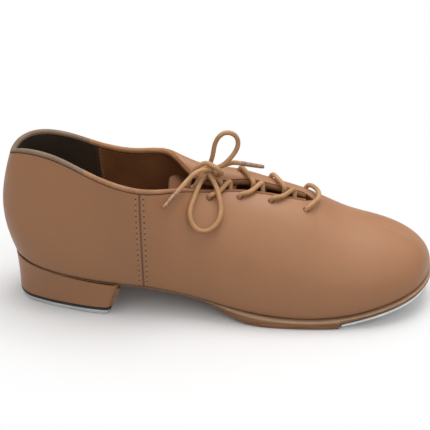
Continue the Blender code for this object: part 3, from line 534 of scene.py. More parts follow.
TONGUE_CROWN = 10.0  # how fast it falls away from its middle, per metre
xs = TONGUE_FROM + (TONGUE_TO - TONGUE_FROM) * (1 - np.cos(np.linspace(0.12, math.pi / 2, 64)))
wide = TONGUE_HALF * np.sqrt(1 - (1 - np.clip((xs - TONGUE_FROM + 0.0001) / 0.016, 0, 1)) ** 2)
wide = np.minimum(wide, blend(xs, 0.150, 0.190, TONGUE_HALF, TONGUE_ROOT_HALF))
lean = blend(xs, 0.138, 0.178, 0.27, 0.0)
sides = np.linspace(-1, 1, 25)[None] * wide[:, None]
heights = TONGUE_LINE(xs)[:, None] + lean[:, None] * sides - TONGUE_CROWN * sides**2
points = np.stack([np.repeat(xs[:, None], 25, axis=1), sides, heights], -1)
tongue = grid_piece("tongue_leather", points, points[..., :2])
thicken(tongue, TONGUE)
smooth(tongue)
stand_in(tongue, "tongue", "tongue")
print("tongue", round((TONGUE_TO - TONGUE_FROM) / MM), "mm long")

# %% [markdown]
# ## Sole
#
# The outsole is one piece of leather. Its edge is trimmed flush and burnished: a fine bright line
# on top, which is a painted highlight where the edge's top bead faces up, then a dark rounded edge.
# A closed profile is swept round the feather edge, and the underside is filled towards the middle.

# %% Outsole
BREAST_TOP, BREAST_BOTTOM = 0.068, 0.063
SOLE_EDGE, SOLE_TUCK, HEEL_COVER, HEEL_SEAT_TUCK = 0.0013, 0.0019, 0.0009, 0.0014
WAIST_FROM, BALL_FROM = 0.112, 0.156
TOE_TAP_FROM, TOE_TAP, TOE_BOARD, TOE_SPRING = 0.197, 0.0022, 0.0007, 0.205


def sole_top(x):
    return seat_height(x) - GAP


def toe_tap_bottom(x):
    return (x - TOE_TAP_FROM) * TOE_SPRING


def sole_bottom(x):
    thick = blend(x, BREAST_TOP, BREAST_TOP + 0.02, 0.0022, 0.0028)
    arch = np.maximum(blend(x, WAIST_FROM, BALL_FROM, 1, 0) * (sole_top(x) - thick), 0)
    tap = toe_tap_bottom(x) + TOE_TAP + 2 * GAP + TOE_BOARD
    return np.where(x > TOE_TAP_FROM - GAP, tap, arch)


TAP_STEP = TOE_TAP_FROM - GAP


def off_step(xs):
    """Points near the tap's step moved just before or just behind it, so that the step stays upright."""
    near = abs(xs - TAP_STEP) < 0.0009
    return np.where(near, TAP_STEP + np.where(xs > TAP_STEP, 0.00012, -0.00004), xs)


EDGE = [  # each point of the edge's profile: how far in, in mm, and what share of the thickness down
    (2.2, 0.0), (0.9, 0.0), (0.35, 0.03), (0.12, 0.10), (0.10, 0.20), (0.26, 0.26), (0.10, 0.33),
    (0.0, 0.46), (0.0, 0.60), (0.10, 0.76), (0.34, 0.90), (0.75, 0.98), (1.4, 1.0), (2.2, 1.0),
]
EDGE_DEPTH = 2.2 * MM  # from the outline in to where the flat top and bottom start
us = (np.linspace(0, 2 * HEEL, 30 * HEEL, endpoint=False) + HEEL) % (2 * HEEL) - HEEL
edge, out = FEATHER(us), outward(us)[:, :2]
inset = blend(edge[:, 0], WAIST_FROM, BALL_FROM, SOLE_TUCK, -SOLE_EDGE)
inset = np.where(edge[:, 0] < BREAST_TOP + MM, HEEL_SEAT_TUCK, inset)
waist = blend(edge[:, 0], WAIST_FROM, BALL_FROM - 0.012, 0.0030, 0)
rings = []
for into, down in EDGE:
    spot = edge - out * (inset + into * MM + waist * max(down - 0.05, 0))[:, None]
    spot[:, 0] = off_step(spot[:, 0])
    top, bottom = sole_top(spot[:, 0]), sole_bottom(spot[:, 0])
    rings.append(np.concatenate([spot, (top + (bottom - top) * down)[:, None]], -1))
TO_CORE = (0.12, 0.3, 0.5, 0.7, 0.88, 0.985)  # shares of the way to the middle line
core = np.stack([np.clip(edge[:, 0], 0.028, 0.222), edge[:, 1] * 0], -1)
for share in TO_CORE:
    spot = (edge - out * (inset + waist * 0.95 + EDGE_DEPTH)[:, None]) * (1 - share) + core * share
    spot[:, 0] = off_step(spot[:, 0])
    rings.append(np.concatenate([spot, sole_bottom(spot[:, 0])[:, None]], -1))
for share in TO_CORE:
    spot = (edge - out * (inset + EDGE_DEPTH)[:, None]) * (1 - share) + core * share
    rings.insert(0, np.concatenate([spot, sole_top(spot[:, 0])[:, None]], -1))
lap = np.cumsum(np.linalg.norm(np.diff(edge, axis=0, append=edge[:1]), axis=1))
downs = [0.0] * len(TO_CORE) + [down for _, down in EDGE] + [1.0] * len(TO_CORE)
flat = np.stack(np.meshgrid(np.append(0, lap), downs), -1)
outsole = closed_loft("outsole_leather", np.array(rings), flat)
smooth(outsole, 40)
stand_in(outsole, "outsole")
print("outsole", len(outsole.data.polygons), "faces")

# %% [markdown]
# ## Heel
#
# The heel is a block covered in the same leather as the upper. It leans in a little towards the
# ground, and its front, the breast, is flat. The wrapped corners are soft, so the ring of points is
# smoothed there.

# %% Heel cover
HEEL_TAP, HEEL_BOARD = 0.0030, 0.0018
HEEL_BOTTOM = HEEL_TAP + GAP + HEEL_BOARD + GAP
HEEL_ROUND, HEEL_FLARE, HEEL_INSET, HOLLOW = 0.0026, 0.0020, 0.0006, 0.0003
SHORT = 0.00003  # how far from the outline's own ends a ring's points stop


def outline_y(side, inset, x):
    u = side * np.linspace(0, HEEL, 500)
    edge = FEATHER(u) - outward(u)[:, :2] * inset
    return np.interp(x, edge[::-1, 0], edge[::-1, 1])


def outline_ends(inset):
    return float(FEATHER(HEEL)[0] + inset), float(FEATHER(0.0)[0] - inset)


def heel_side(side, share, inset, xs):
    """The heel is rounder than the upper at its back corners, and wider at the foot of the breast."""
    shift = blend(xs, 0.006, 0.022, 0, HEEL_ROUND)
    shift -= blend(xs, 0.024, BREAST_BOTTOM, 0, HEEL_ROUND + HEEL_FLARE)
    return np.array([outline_y(side, inset + more * (1 - 0.8 * share), x) for more, x in zip(shift, xs)])


def heel_outline(inset, breast, share=0.0, count=44):
    """Points round the heel, from the outer breast corner to the inner one, and across the breast."""
    start = outline_ends(inset)[0] + SHORT
    xs = start + (breast - start) * (1 - np.cos(np.linspace(0, math.pi / 2, count)))
    outer = np.stack([xs[::-1], heel_side(-1, share, inset, xs[::-1])], -1)
    inner = np.stack([xs, heel_side(1, share, inset, xs)], -1)
    cross = np.linspace(inner[-1], outer[0], 14)[1:-1]
    return rounded(np.concatenate([outer, inner[1:], cross]), 3)


def rounded(ring, times):
    """The closed ring with its corners softened."""
    for _ in range(times):
        ring = (np.roll(ring, 1, 0) + 2 * ring + np.roll(ring, -1, 0)) / 4
    return ring


def at_height(ring, height):
    return np.concatenate([ring, np.broadcast_to(height, (len(ring),))[:, None]], -1)


rings = []
for share in np.linspace(0, 1, 13):
    inset = HEEL_INSET * (1 - 2 * share) + HOLLOW * math.sin(math.pi * share)
    ring = heel_outline(inset, BREAST_BOTTOM + (BREAST_TOP - BREAST_BOTTOM) * share, share)
    rings.append(at_height(ring, HEEL_BOTTOM + (sole_top(ring[:, 0]) - 0.0001 - HEEL_BOTTOM) * share))
rings = np.array(rings)
rings = np.concatenate([rings, rings[:, :1]], axis=1)
heel = thicken(grid_piece("heel_cover_leather", rings), HEEL_COVER)
smooth(heel, 35)
stand_in(heel, "heel_cover")
print("heel", round((float(sole_top(0.03)) - HEEL_BOTTOM) / MM, 1), "mm of cover")

# %% [markdown]
# ## Taps and sounding boards
#
# Each tap is a cast aluminium plate screwed to a thin black board, so that it rings on hard floors.
# The plates start as outlines and get a Bevel modifier on their rims. The toe tap follows the toe's
# spring, so it leaves the ground towards its tip.


# %% Plates
def bevelled(piece, width, segments=3):
    rim = piece.modifiers.new("rim", "BEVEL")
    rim.width = width
    rim.segments = segments
    rim.limit_method = "ANGLE"
    rim.angle_limit = math.radians(50)
    pick(piece)
    bpy.ops.object.modifier_apply(modifier=rim.name)
    smooth(piece, 35)
    return piece


def plate(name, ring, low, high, width, node):
    """A plate on an outline between two heights, which may be functions of x, with a bevelled rim."""
    low = low(ring[:, 0]) if callable(low) else low
    high = high(ring[:, 0]) if callable(high) else high
    piece = bevelled(closed_loft(name, np.array([at_height(ring, low), at_height(ring, high)])), width)
    stand_in(piece, node)
    return piece


def toe_outline(inset, start, count=60):
    stop = outline_ends(inset)[1] - SHORT
    xs = start + (stop - start) * np.sin(np.linspace(0, math.pi / 2, count))
    inner = np.stack([xs, outline_y(1, inset, xs)], -1)
    outer = np.stack([xs[::-1], outline_y(-1, inset, xs[::-1])], -1)
    cross = np.linspace(outer[-1], inner[0], 20)[1:-1]
    return rounded(np.concatenate([inner, outer[1:], cross]), 2)


TOE_INSET = 0.0002
toe_ring = toe_outline(TOE_INSET, TOE_TAP_FROM)
toe_tap = plate(
    "toe_tap_plate", toe_ring, toe_tap_bottom, lambda x: toe_tap_bottom(x) + TOE_TAP, 0.0006,
    "toe_tap")
toe_board = plate(
    "toe_board_plate", toe_ring, lambda x: toe_tap_bottom(x) + TOE_TAP + GAP,
    lambda x: toe_tap_bottom(x) + TOE_TAP + GAP + TOE_BOARD, 0.00015,
    "toe_sounding_board")
HEEL_TAP_INSET = 0.0012
heel_tap = plate(
    "heel_tap_plate", heel_outline(HEEL_INSET + HEEL_TAP_INSET, BREAST_BOTTOM - MM), 0.0, HEEL_TAP,
    0.0007, "heel_tap")
heel_board = plate(
    "heel_board_plate", heel_outline(HEEL_INSET, BREAST_BOTTOM), HEEL_TAP + GAP, HEEL_BOTTOM - GAP,
    0.0003, "heel_sounding_board")
print("plates:", [p.name for p in (toe_tap, toe_board, heel_tap, heel_board)])

# %% [markdown]
# ## Lace
#
# One round braided cord runs through all eight holes. It starts at one tip, makes half of the bow,
# zigzags down to the front hole, crosses there as a short bar, and comes back up to the other half of
# the bow. A tube with its own UV map is swept along the route, so that the braid can follow the cord.

# %% The lace's route
INTO, BAR_REACH, BAR_RISE, RISE, DROP, ASIDE = 0.0005, 0.0030, 0.0032, 0.0026, 0.0052, 0.0005
CROSSING = {"lateral": 0.56, "medial": 0.32}  # ribs from a hole forward to where the lace comes up
LIE, HANG = LACE / 2 + 2 * GAP, LINING_AT + LINING + LACE / 2 + 3 * GAP
BOW_UPPER = MM * np.array([
    (111.5, -2.6, 69.5), (115.2, -0.2, 76.5), (119.8, 3.0, 83.0), (122.2, 2.8, 91.0), (124.0, 2.6, 99.4),
    (129.2, 3.0, 104.6), (135.2, 3.0, 102.8), (136.6, 2.4, 96.6), (132.8, 0.6, 90.0), (127.4, -1.6, 85.6),
    (120.8, -3.4, 84.2), (113.8, -6.6, 84.2), (107.4, -13.2, 81.2), (102.2, -20.0, 77.9),
])
BOW_LOWER = MM * np.array([
    (108.0, -0.6, 69.8), (109.4, -0.8, 78.0), (113.0, -1.6, 84.4), (118.0, -2.2, 87.4),
    (123.2, -5.4, 86.8), (126.8, -5.6, 83.6), (126.0, -1.0, 79.4), (120.6, 1.6, 78.2),
    (115.6, -5.0, 77.0), (111.8, -14.6, 71.6), (109.4, -22.4, 65.2), (112.0, -26.8, 58.8),
    (117.6, -27.6, 56.2), (123.8, -25.4, 58.4), (127.2, -20.8, 64.0), (126.2, -13.4, 71.2),
    (122.6, -6.4, 78.0), (119.8, -1.2, 81.4), (124.2, 2.8, 82.0), (130.0, 3.4, 83.8),
    (134.2, 3.6, 84.9), (138.6, 3.9, 84.3),
])


def to_hole(side, row):
    """Over one flap from the slit, in through a hole, and back to the slit inside."""
    hole, setback = LACE_ROWS[row], SETBACKS[side][row]
    return [
        on_flap(side, hole - CROSSING[side] / 2, setback * 0.5, LIE + GAP),
        on_flap(side, hole - 0.02, setback - INTO, LIE - GAP),
        on_flap(side, hole, setback, -HANG / 2),
        on_flap(side, hole + 0.06, setback * 0.6, -HANG - GAP),
    ]


def up_the_slit(side, row):
    u = LACE_ROWS[row] - CROSSING[side]
    between = (top_edge(u) + top_edge(-u)) / 2
    aside = np.array([0, SIDES[side] * ASIDE, 0])
    return [between + 2 * aside - np.array([0, 0, DROP]), between - aside + np.array([0, 0, RISE])]


def laced(start):
    """Half of the lacing, from the front bar to the last hole on the start side."""
    other = "medial" if start == "lateral" else "lateral"
    setback, front = SETBACKS[start][0], LACE_ROWS[0]
    route = [on_flap(start, front - 0.03, setback - INTO, LIE), on_flap(start, front, setback, -HANG / 2)]
    route += [on_flap(start, front + 0.06, setback * 0.6, -HANG - GAP)]
    for row, side in ((1, other), (2, start), (3, other)):
        route += up_the_slit(side, row) + to_hole(side, row)
    return route


def smooth_line(points, spacing):
    gaps = np.linalg.norm(np.diff(points, axis=0), axis=1)
    knots = np.concatenate([[0], np.sqrt(gaps).cumsum()])
    curve, at = spline(knots, points), [0.0]
    for start, stop, gap in zip(knots, knots[1:], gaps):
        steps = max(1, round(float(gap) / spacing))
        at += list(start + (stop - start) * np.arange(1, steps + 1) / steps)
    return curve(np.array(at))


bar = top_edge(SLIT) + np.array([BAR_REACH, 0, BAR_RISE])
stops = [*BOW_UPPER[::-1], *laced("medial")[::-1], bar, *laced("lateral"), *BOW_LOWER]
lace_line = smooth_line(np.array(stops), 0.0009)
print("lace is", round(float(run_along(lace_line)[-1]), 3), "m long, through", len(stops), "points")


# %% Sweep the lace
def tube(name, line, radii, sides=12):
    """A round tube along a line, its rings turned as little as possible, with UV in metres."""
    along = unit(np.gradient(line, axis=0))
    across = np.zeros_like(line)
    across[0] = unit(np.cross(along[0], [0, 0, 1.0]))
    for k in range(1, len(line)):
        left = across[k - 1] - along[k] * np.dot(across[k - 1], along[k])
        across[k] = unit(left)
    third = np.cross(along, across)
    turn = np.linspace(0, 2 * math.pi, sides, endpoint=False)
    radii = np.broadcast_to(radii, (len(line),))[:, None, None]
    section = np.cos(turn)[None, :, None] * across[:, None] + np.sin(turn)[None, :, None] * third[:, None]
    around = np.linspace(0, 1, sides + 1)
    flat = np.stack(np.broadcast_arrays(run_along(line)[:, None], around[None]), -1)
    piece = closed_loft(name, line[:, None] + radii * section, flat)
    smooth(piece, 60)
    return piece


lace = tube("lace_cord", lace_line, LACE / 2)
stand_in(lace, "lace")
AGLET = MM * np.array([  # how far out of the lace's end and how thick, from the crimped end to the tip
    (-0.2, 1.36), (0.0, 1.46), (0.4, 1.48), (3.0, 1.40), (3.4, 1.30), (3.8, 1.38),
    (9.5, 1.26), (9.9, 1.17), (10.3, 1.24), (12.8, 1.18), (13.7, 1.02), (14.0, 0.55),
])
aglets = []
for number, (tip, inner) in enumerate([(lace_line[0], lace_line[3]), (lace_line[-1], lace_line[-4])], 1):
    away = unit(tip - inner)
    aglet = tube("aglet_tube_%d" % number, tip + away * AGLET[:, :1], AGLET[:, 1], 20)
    stand_in(aglet, "aglet_%d" % number)
    aglets.append(aglet)
print("aglets:", len(aglets))

# %% [markdown]
# ## Sock
#
# A thin leather sock covers the insole, raised a little at the heel by the foam under it. It is
# a sheet laid between the two sides of the shoe's outline.

# %% Sock
INSOLE, SOCK_THICK, PAD, FREE = 0.0018, 0.0009, 0.0024, LINING_AT + LINING + GAP
board_top = GAP + LEATHER + INSOLE
xs = np.linspace(*outline_ends(FREE), 90)
xs[[0, -1]] += np.array([1, -1]) * SHORT
spread = (1 - np.cos(np.linspace(0, math.pi, 25))) / 2
left, right = outline_y(-1, FREE, xs), outline_y(1, FREE, xs)
sides = left[:, None] + (right - left)[:, None] * spread[None]
height = seat_height(xs) + board_top + GAP + blend(xs, 0.050, 0.078, PAD, 0) + 0.0010
curl = 0.0005 * (2 * spread - 1) ** 8
points = np.stack(np.broadcast_arrays(xs[:, None], sides, height[:, None] + curl[None]), -1)
sock = thicken(grid_piece("sock_leather", points, points[..., :2]), SOCK_THICK)
smooth(sock)
stand_in(sock, "sock_liner")
print("sock is", round(float(xs[-1] - xs[0]) / MM), "mm long")

# %% [markdown]
# ## Screws
#
# Six countersunk screws hold the taps. One is turned from a cylinder: its shank is extruded and
# narrowed, and two crossed bars cut its recess. The others are copies with their own mesh.

# %% Screw
SCREW_HEAD, SCREW_SHANK = 0.0030, 0.0013


deselect()
bpy.ops.mesh.primitive_cylinder_add(vertices=32, radius=SCREW_HEAD, depth=0.0004, location=(0, 0, 0.0004))
screw = bpy.context.object
bpy.ops.object.transform_apply(location=True)
bpy.ops.object.mode_set(mode="EDIT")
shape = bmesh.from_edit_mesh(screw.data)
for face in shape.faces:
    face.select_set(face.normal.z > 0.9)
shape.select_flush_mode()
for rise, size in ((0.00102, 0.45), (0.0035, 1.0), (0.0003, 0.8)):
    bpy.ops.mesh.extrude_region_move(TRANSFORM_OT_translate={"value": (0, 0, rise)})
    bpy.ops.transform.resize(value=(size, size, 1), center_override=(0, 0, 0))
bpy.ops.object.mode_set(mode="OBJECT")
bars = []
for wide, deep in ((0.0007, 0.0034), (0.0034, 0.0007)):
    deselect()
    bpy.ops.mesh.primitive_cube_add(size=1, location=(0, 0, 0), scale=(wide, deep, 0.0020))
    bars.append(bpy.context.object)
cut_with(screw, bars)
smooth(screw, 30)
print("screw", [round(v / MM, 1) for v in screw.dimensions])

# %% Place the screws and cut their seats in the plates
SLOPE = math.atan(TOE_SPRING)
SCREWS = [(0.022, 0.0, 0.2), (0.050, -0.016, 0.9), (0.050, 0.016, 0.5)]
TOE_SCREWS = [(0.238, 0.0, 0.7), (0.208, -0.022, 0.1), (0.208, 0.019, 1.1)]


def seat_cutter(place, lean):
    deselect()
    bpy.ops.mesh.primitive_cone_add(
        vertices=32, radius1=SCREW_HEAD + 0.0013, radius2=SCREW_SHANK + 0.0002, depth=0.0032,
        location=(0, 0, 0.0005))
    cone = bpy.context.object
    bpy.ops.object.transform_apply(location=True)
    cone.rotation_euler = (0, -lean, 0)
    cone.location = place
    return cone


placed = []
for names, spots, plates, lean in (("heel", SCREWS, (heel_tap, heel_board), 0.0),
                                   ("toe", TOE_SCREWS, (toe_tap, toe_board), SLOPE)):
    for number, (x, y, turn) in enumerate(spots, 1):
        foot = Vector((x - ORIGIN[0], y - ORIGIN[1], float(toe_tap_bottom(x)) if lean else 0.0))
        copy = bpy.data.objects.new("%s_screw_%d" % (names, number), screw.data.copy())
        bpy.context.scene.collection.objects.link(copy)
        copy.rotation_euler = (0, -lean, turn)
        copy.location = foot
        pick(copy)
        bpy.ops.object.transform_apply()
        stand_in(copy, "%s_tap_screw_%d" % (names, number))
        placed.append(copy)
    for piece in plates:
        cut_with(piece, [seat_cutter((c[0] - ORIGIN[0], c[1] - ORIGIN[1],
                                      float(toe_tap_bottom(c[0])) if lean else 0.0), lean) for c in spots])
        smooth(piece, 35)
bpy.data.objects.remove(screw)
print("screws placed:", len(placed))

# %% [markdown]
# ## Helpers for materials
#
# A finish is a Principled shader fed by a few shared groups. These helpers make a node, set
# or link its sockets, and mix colours. A number that is the same all over stays on the
# shader's own socket.


# %% Node helpers
def put(tree, socket, value):
    if isinstance(value, bpy.types.NodeSocket):
        tree.links.new(value, socket)
    elif isinstance(value, tuple) and len(value) == 3 and socket.type == "RGBA":
        socket.default_value = (*value, 1)
    else:
        socket.default_value = value


def node(tree, kind, out=0, settings=(), **sockets):
    made = tree.nodes.new("ShaderNode" + kind)
    for label, value in dict(settings).items():
        setattr(made, label, value)
    for label, value in sockets.items():
        put(tree, made.inputs[label.replace("_", " ")], value)
    return made.outputs[out]


def maths(tree, operation, *values):
    made = tree.nodes.new("ShaderNodeMath")
    made.operation = operation
    for socket, value in zip(made.inputs, values):
        put(tree, socket, value)
    return made.outputs[0]


def times(tree, first, second):
    return maths(tree, "MULTIPLY", first, second)


def plus(tree, first, second):
    return maths(tree, "ADD", first, second)


def uv(tree):
    """The two values of the piece's UV map, in metres."""
    both = tree.nodes.new("ShaderNodeSeparateXYZ")
    put(tree, both.inputs[0], node(tree, "TexCoord", out=2))
    return both.outputs[0], both.outputs[1]


def own_place(tree):
    """Where a point is in the piece's own space, which is the shoe's."""
    return node(tree, "TexCoord", out=3)


def noise(tree, place, scale, detail, **more):
    return node(tree, "TexNoise", Vector=place, Scale=scale, Detail=detail, **more)


def mixed(tree, share, first, second):
    made = tree.nodes.new("ShaderNodeMix")
    made.data_type = "RGBA"
    for place, value in ((0, share), (6, first), (7, second)):
        put(tree, made.inputs[place], value)
    return made.outputs[2]


def ramp(tree, value, low, high, first=0.0, second=1.0):
    """A value taken smoothly from first to second as it goes from low to high."""
    made = tree.nodes.new("ShaderNodeMapRange")
    made.interpolation_type = "SMOOTHSTEP"
    for place, number in enumerate((value, low, high, first, second)):
        put(tree, made.inputs[place], number)
    return made.outputs[0]


def group(name, inputs, outputs):
    """A shader group with named sockets, and the sockets inside it that give and take them."""
    tree = bpy.data.node_groups.new(name, "ShaderNodeTree")
    for label, value in inputs.items():
        kind = "NodeSocketVector" if value is None else "NodeSocketFloat"
        socket = tree.interface.new_socket(label, in_out="INPUT", socket_type=kind)
        if value is not None:
            socket.default_value = value
    for label in outputs:
        tree.interface.new_socket(label, in_out="OUTPUT", socket_type="NodeSocketFloat")
    return tree, tree.nodes.new("NodeGroupInput").outputs, tree.nodes.new("NodeGroupOutput").inputs


def use(tree, shared, **sockets):
    made = tree.nodes.new("ShaderNodeGroup")
    made.node_tree = shared
    for label, value in sockets.items():
        put(tree, made.inputs[label.replace("_", " ")], value)
    return made.outputs


def finish_for(name, **plain):
    made = bpy.data.materials.new(name)
    made.use_nodes = True
    tree = made.node_tree
    shader = tree.nodes["Principled BSDF"]
    for label, value in plain.items():
        put(tree, shader.inputs[label.replace("_", " ")], value)
    return made, tree, shader.inputs


def look(tree, shader, colour, rough, normal):
    for label, value in (("Base Color", colour), ("Roughness", rough), ("Normal", normal)):
        put(tree, shader[label], value)


def bump(tree, height, distance, strength=1.0):
    return node(tree, "Bump", Height=height, Distance=distance, Strength=strength)


def dress(material, *pieces):
    for piece in pieces:
        piece.data.materials.clear()
        piece.data.materials.append(material)


# %% [markdown]
# ## Shared effects
#
# Three effects come back in several finishes: the grain of a hide, with its pores, folds and
# cloudy dye; a row of machine stitches, placed by its distance from a seam; and the crossing strands
# of a braid.

# %% Grain, stitches and braid
PORE = 0.0007
grain, given, taken = group("hide_grain", {"Place": None, "Pore Size": PORE}, ["Height", "Cloud", "Pore"])
scale, place = maths(grain, "DIVIDE", 1.0, given["Pore Size"]), given["Place"]
cells = node(
    grain, "TexVoronoi", settings={"feature": "SMOOTH_F1"}, Vector=place, Scale=scale, Smoothness=0.4)
wide = times(grain, scale, 0.22)
folds = noise(grain, place, wide, 5.0, Roughness=0.6)
cloud = noise(grain, place, 55.0, 4.0, Roughness=0.55)
put(grain, taken["Height"], plus(grain, times(grain, cells, 0.55), times(grain, folds, 0.45)))
put(grain, taken["Cloud"], ramp(grain, cloud, 0.3, 0.7))
put(grain, taken["Pore"], ramp(grain, cells, 0.25, 0.6))

stitches, given, taken = group(
    "stitch_row", {"Away": 0.0, "Along": 0.0, "Offset": 0.0023, "Pitch": 0.003, "Width": 0.0003},
    ["Thread", "Hole", "Height"])
off_line = maths(stitches, "ABSOLUTE", maths(stitches, "SUBTRACT", given["Away"], given["Offset"]))
aside = maths(stitches, "DIVIDE", off_line, given["Width"])
stitch = maths(stitches, "FRACT", maths(stitches, "DIVIDE", given["Along"], given["Pitch"]))
reach = maths(stitches, "ABSOLUTE", maths(stitches, "SUBTRACT", stitch, 0.5))
in_row = ramp(stitches, aside, 1.15, 0.85)
thread = times(stitches, in_row, ramp(stitches, reach, 0.40, 0.33))
widths = maths(stitches, "DIVIDE", given["Pitch"], given["Width"])
along = times(stitches, maths(stitches, "SUBTRACT", 0.5, reach), widths)
squares = plus(stitches, times(stitches, aside, aside), times(stitches, along, along))
hole = ramp(stitches, maths(stitches, "SQRT", squares), 1.9, 1.1)
crown = maths(stitches, "SUBTRACT", 1.0, times(stitches, aside, times(stitches, aside, 0.7)))
put(stitches, taken["Thread"], thread)
put(stitches, taken["Hole"], hole)
put(stitches, taken["Height"], maths(stitches, "SUBTRACT", times(stitches, thread, crown), hole))

braid, given, taken = group(
    "braid", {"Run": 0.0, "Around": 0.0, "Pitch": 0.0016, "Strands": 6.0}, ["Height", "Gap"])
run = maths(braid, "DIVIDE", given["Run"], given["Pitch"])
turn = times(braid, given["Around"], given["Strands"])
waves = []
for way in ("ADD", "SUBTRACT"):
    share = maths(braid, "FRACT", maths(braid, way, run, turn))
    waves.append(maths(braid, "SINE", times(braid, share, math.pi)))
over = maths(braid, "MAXIMUM", waves[0], waves[1])
put(braid, taken["Height"], over)
# Gap is where the strands dip apart; the woven finishes paint shade there.
put(braid, taken["Gap"], ramp(braid, over, 0.75, 0.35))
print("groups:", [tree.name for tree in bpy.data.node_groups])

# %% [markdown]
# ## Leather finishes
#
# The upper is a smooth tan hide with a soft sheen. The dye is a little uneven, and darker in the
# pores. The needle holes beside the seam get painted shade. The seam itself is a dark line that is
# partly the joint and partly painted shade of its crease. The thread is nearly the leather's own colour.

# %% Upper leather
UPPER_DARK, UPPER_LIGHT = (0.330, 0.150, 0.065), (0.505, 0.240, 0.117)


def upper_leather(name, sewn):
    made, tree, shader = finish_for(name, Specular_IOR_Level=0.45)
    place = own_place(tree)
    hide = use(tree, grain, Place=place, Pore_Size=0.0006)
    broad = noise(tree, place, 22.0, 3.0)
    dye = plus(tree, times(tree, hide["Cloud"], 0.10), times(tree, ramp(tree, broad, 0.35, 0.65), 0.08))
    share = maths(tree, "SUBTRACT", plus(tree, dye, 0.66), times(tree, hide["Pore"], 0.06))
    height = times(tree, hide["Height"], 0.00006)
    colour = mixed(tree, share, UPPER_DARK, UPPER_LIGHT)
    if sewn:
        away, along = uv(tree)
        row = use(tree, stitches, Away=away, Along=along, Offset=0.0023, Pitch=0.0036, Width=0.00032)
        colour = mixed(tree, times(tree, row["Thread"], 0.40), colour, (0.62, 0.34, 0.19))
        # Painted shade: the needle holes are painted near-black.
        colour = mixed(tree, times(tree, row["Hole"], 0.92), colour, (0.040, 0.016, 0.008))
        # A dark line along the seam: partly the joint itself, partly painted shade of the crease the leather
        # dips into.
        seam = ramp(tree, away, 0.0009, 0.0002)
        colour = mixed(tree, times(tree, seam, 0.72), colour, (0.075, 0.030, 0.013))
        height = plus(tree, height, times(tree, row["Height"], 0.00022))
    look(tree, shader, colour, ramp(tree, hide["Cloud"], 0.0, 1.0, 0.40, 0.50), bump(tree, height, 1.0, 0.7))
    return made


dress(upper_leather("tan_upper_leather", True), vamp, quarter)
dress(upper_leather("tan_heel_leather", False), heel)


# %% Lining leather, suede and plain leathers
def soft_leather(name, dark, light, rough, pores, sheen, depth, row=None, thread=(0.45, 0.25, 0.13)):
    made, tree, shader = finish_for(name, Specular_IOR_Level=0.25, Sheen_Weight=sheen, Sheen_Roughness=0.4)
    place = own_place(tree)
    hide = use(tree, grain, Place=place, Pore_Size=pores)
    nap = noise(tree, place, 2600.0, 2.0)
    share = plus(tree, times(tree, hide["Cloud"], 0.5), times(tree, nap, 0.5))
    colour = mixed(tree, share, dark, light)
    height = times(tree, plus(tree, hide["Height"], nap), depth)
    if row:
        away, along = uv(tree)
        sewn = use(tree, stitches, Away=away, Along=along, Offset=row, Pitch=0.0026, Width=0.00028)
        colour = mixed(tree, sewn["Thread"], colour, thread)
        # Painted shade: the needle holes take the material's dark tone.
        colour = mixed(tree, sewn["Hole"], colour, dark)
        height = plus(tree, height, times(tree, sewn["Height"], 0.0002))
    dull = ramp(tree, hide["Cloud"], 0.0, 1.0, rough - 0.06, rough + 0.05)
    look(tree, shader, colour, dull, bump(tree, height, 1.0, 0.8))
    return made


LINING_ROW = 0.0013  # from the edge of the lining to its stitches
dress(soft_leather(
    "orange_brown_lining", (0.19, 0.070, 0.024), (0.34, 0.135, 0.050), 0.62, 0.0008, 0.1, 0.00006,
    row=LINING_ROW), front_lining)
dress(soft_leather(
    "brown_sock_leather", (0.10, 0.045, 0.022), (0.18, 0.085, 0.042), 0.66, 0.0009, 0.1, 0.00006), sock)
dress(soft_leather(
    "dark_heel_suede", (0.036, 0.019, 0.010), (0.074, 0.044, 0.026), 0.92, 0.0005, 0.3, 0.00010,
    row=LINING_ROW, thread=(0.12, 0.075, 0.045)), heel_lining)
dress(soft_leather(
    "tongue_brown_leather", (0.15, 0.062, 0.027), (0.25, 0.110, 0.050), 0.6, 0.0007, 0.1, 0.00006), tongue)
print("leathers:", len([m for m in bpy.data.materials if "leather" in m.name or "suede" in m.name]))

# %% [markdown]
# ## Tape, cord and tips
#
# The binding is a ribbed woven tape, so its pattern follows the tape's own length. The lace is a
# braid of fine strands. Each tip is a sleeve of glossy plastic, tinted like the lace and a little darker.


# %% Woven finishes
def woven(name, dark, light, pitch, strands, depth, rough, ribbed, slit=None):
    made, tree, shader = finish_for(name, Specular_IOR_Level=0.3, Sheen_Weight=0.18, Sheen_Roughness=0.35)
    run, around = uv(tree)
    place = own_place(tree)
    if ribbed:
        phase = maths(tree, "FRACT", maths(tree, "DIVIDE", run, pitch))
        height = maths(tree, "SINE", times(tree, phase, math.pi))
        gap = ramp(tree, height, 0.55, 0.1)
    else:
        pattern = use(tree, braid, Run=run, Around=around, Pitch=pitch, Strands=strands)
        height, gap = pattern["Height"], pattern["Gap"]
    fibre = noise(tree, place, 1500.0, 3.0)
    uneven = noise(tree, place, 90.0, 2.0)
    worn = times(tree, ramp(tree, uneven, 0.3, 0.7), 0.35)
    colour = mixed(tree, plus(tree, plus(tree, times(tree, fibre, 0.3), worn), 0.35), dark, light)
    # Painted shade: the gaps between ribs or strands are darkened towards the dark tone.
    colour = mixed(tree, times(tree, gap, 0.6), colour, dark)
    # Painted shade: along the slit the tape is painted the given darker brown, for the shade in the throat.
    if slit:
        colour = mixed(tree, ramp(tree, run, 0.075, 0.055), colour, slit)
    total = plus(tree, times(tree, height, depth), times(tree, fibre, depth * 0.3))
    dull = ramp(tree, fibre, 0.3, 0.7, rough - 0.05, rough + 0.05)
    look(tree, shader, colour, dull, bump(tree, total, 1.0, 0.9))
    return made


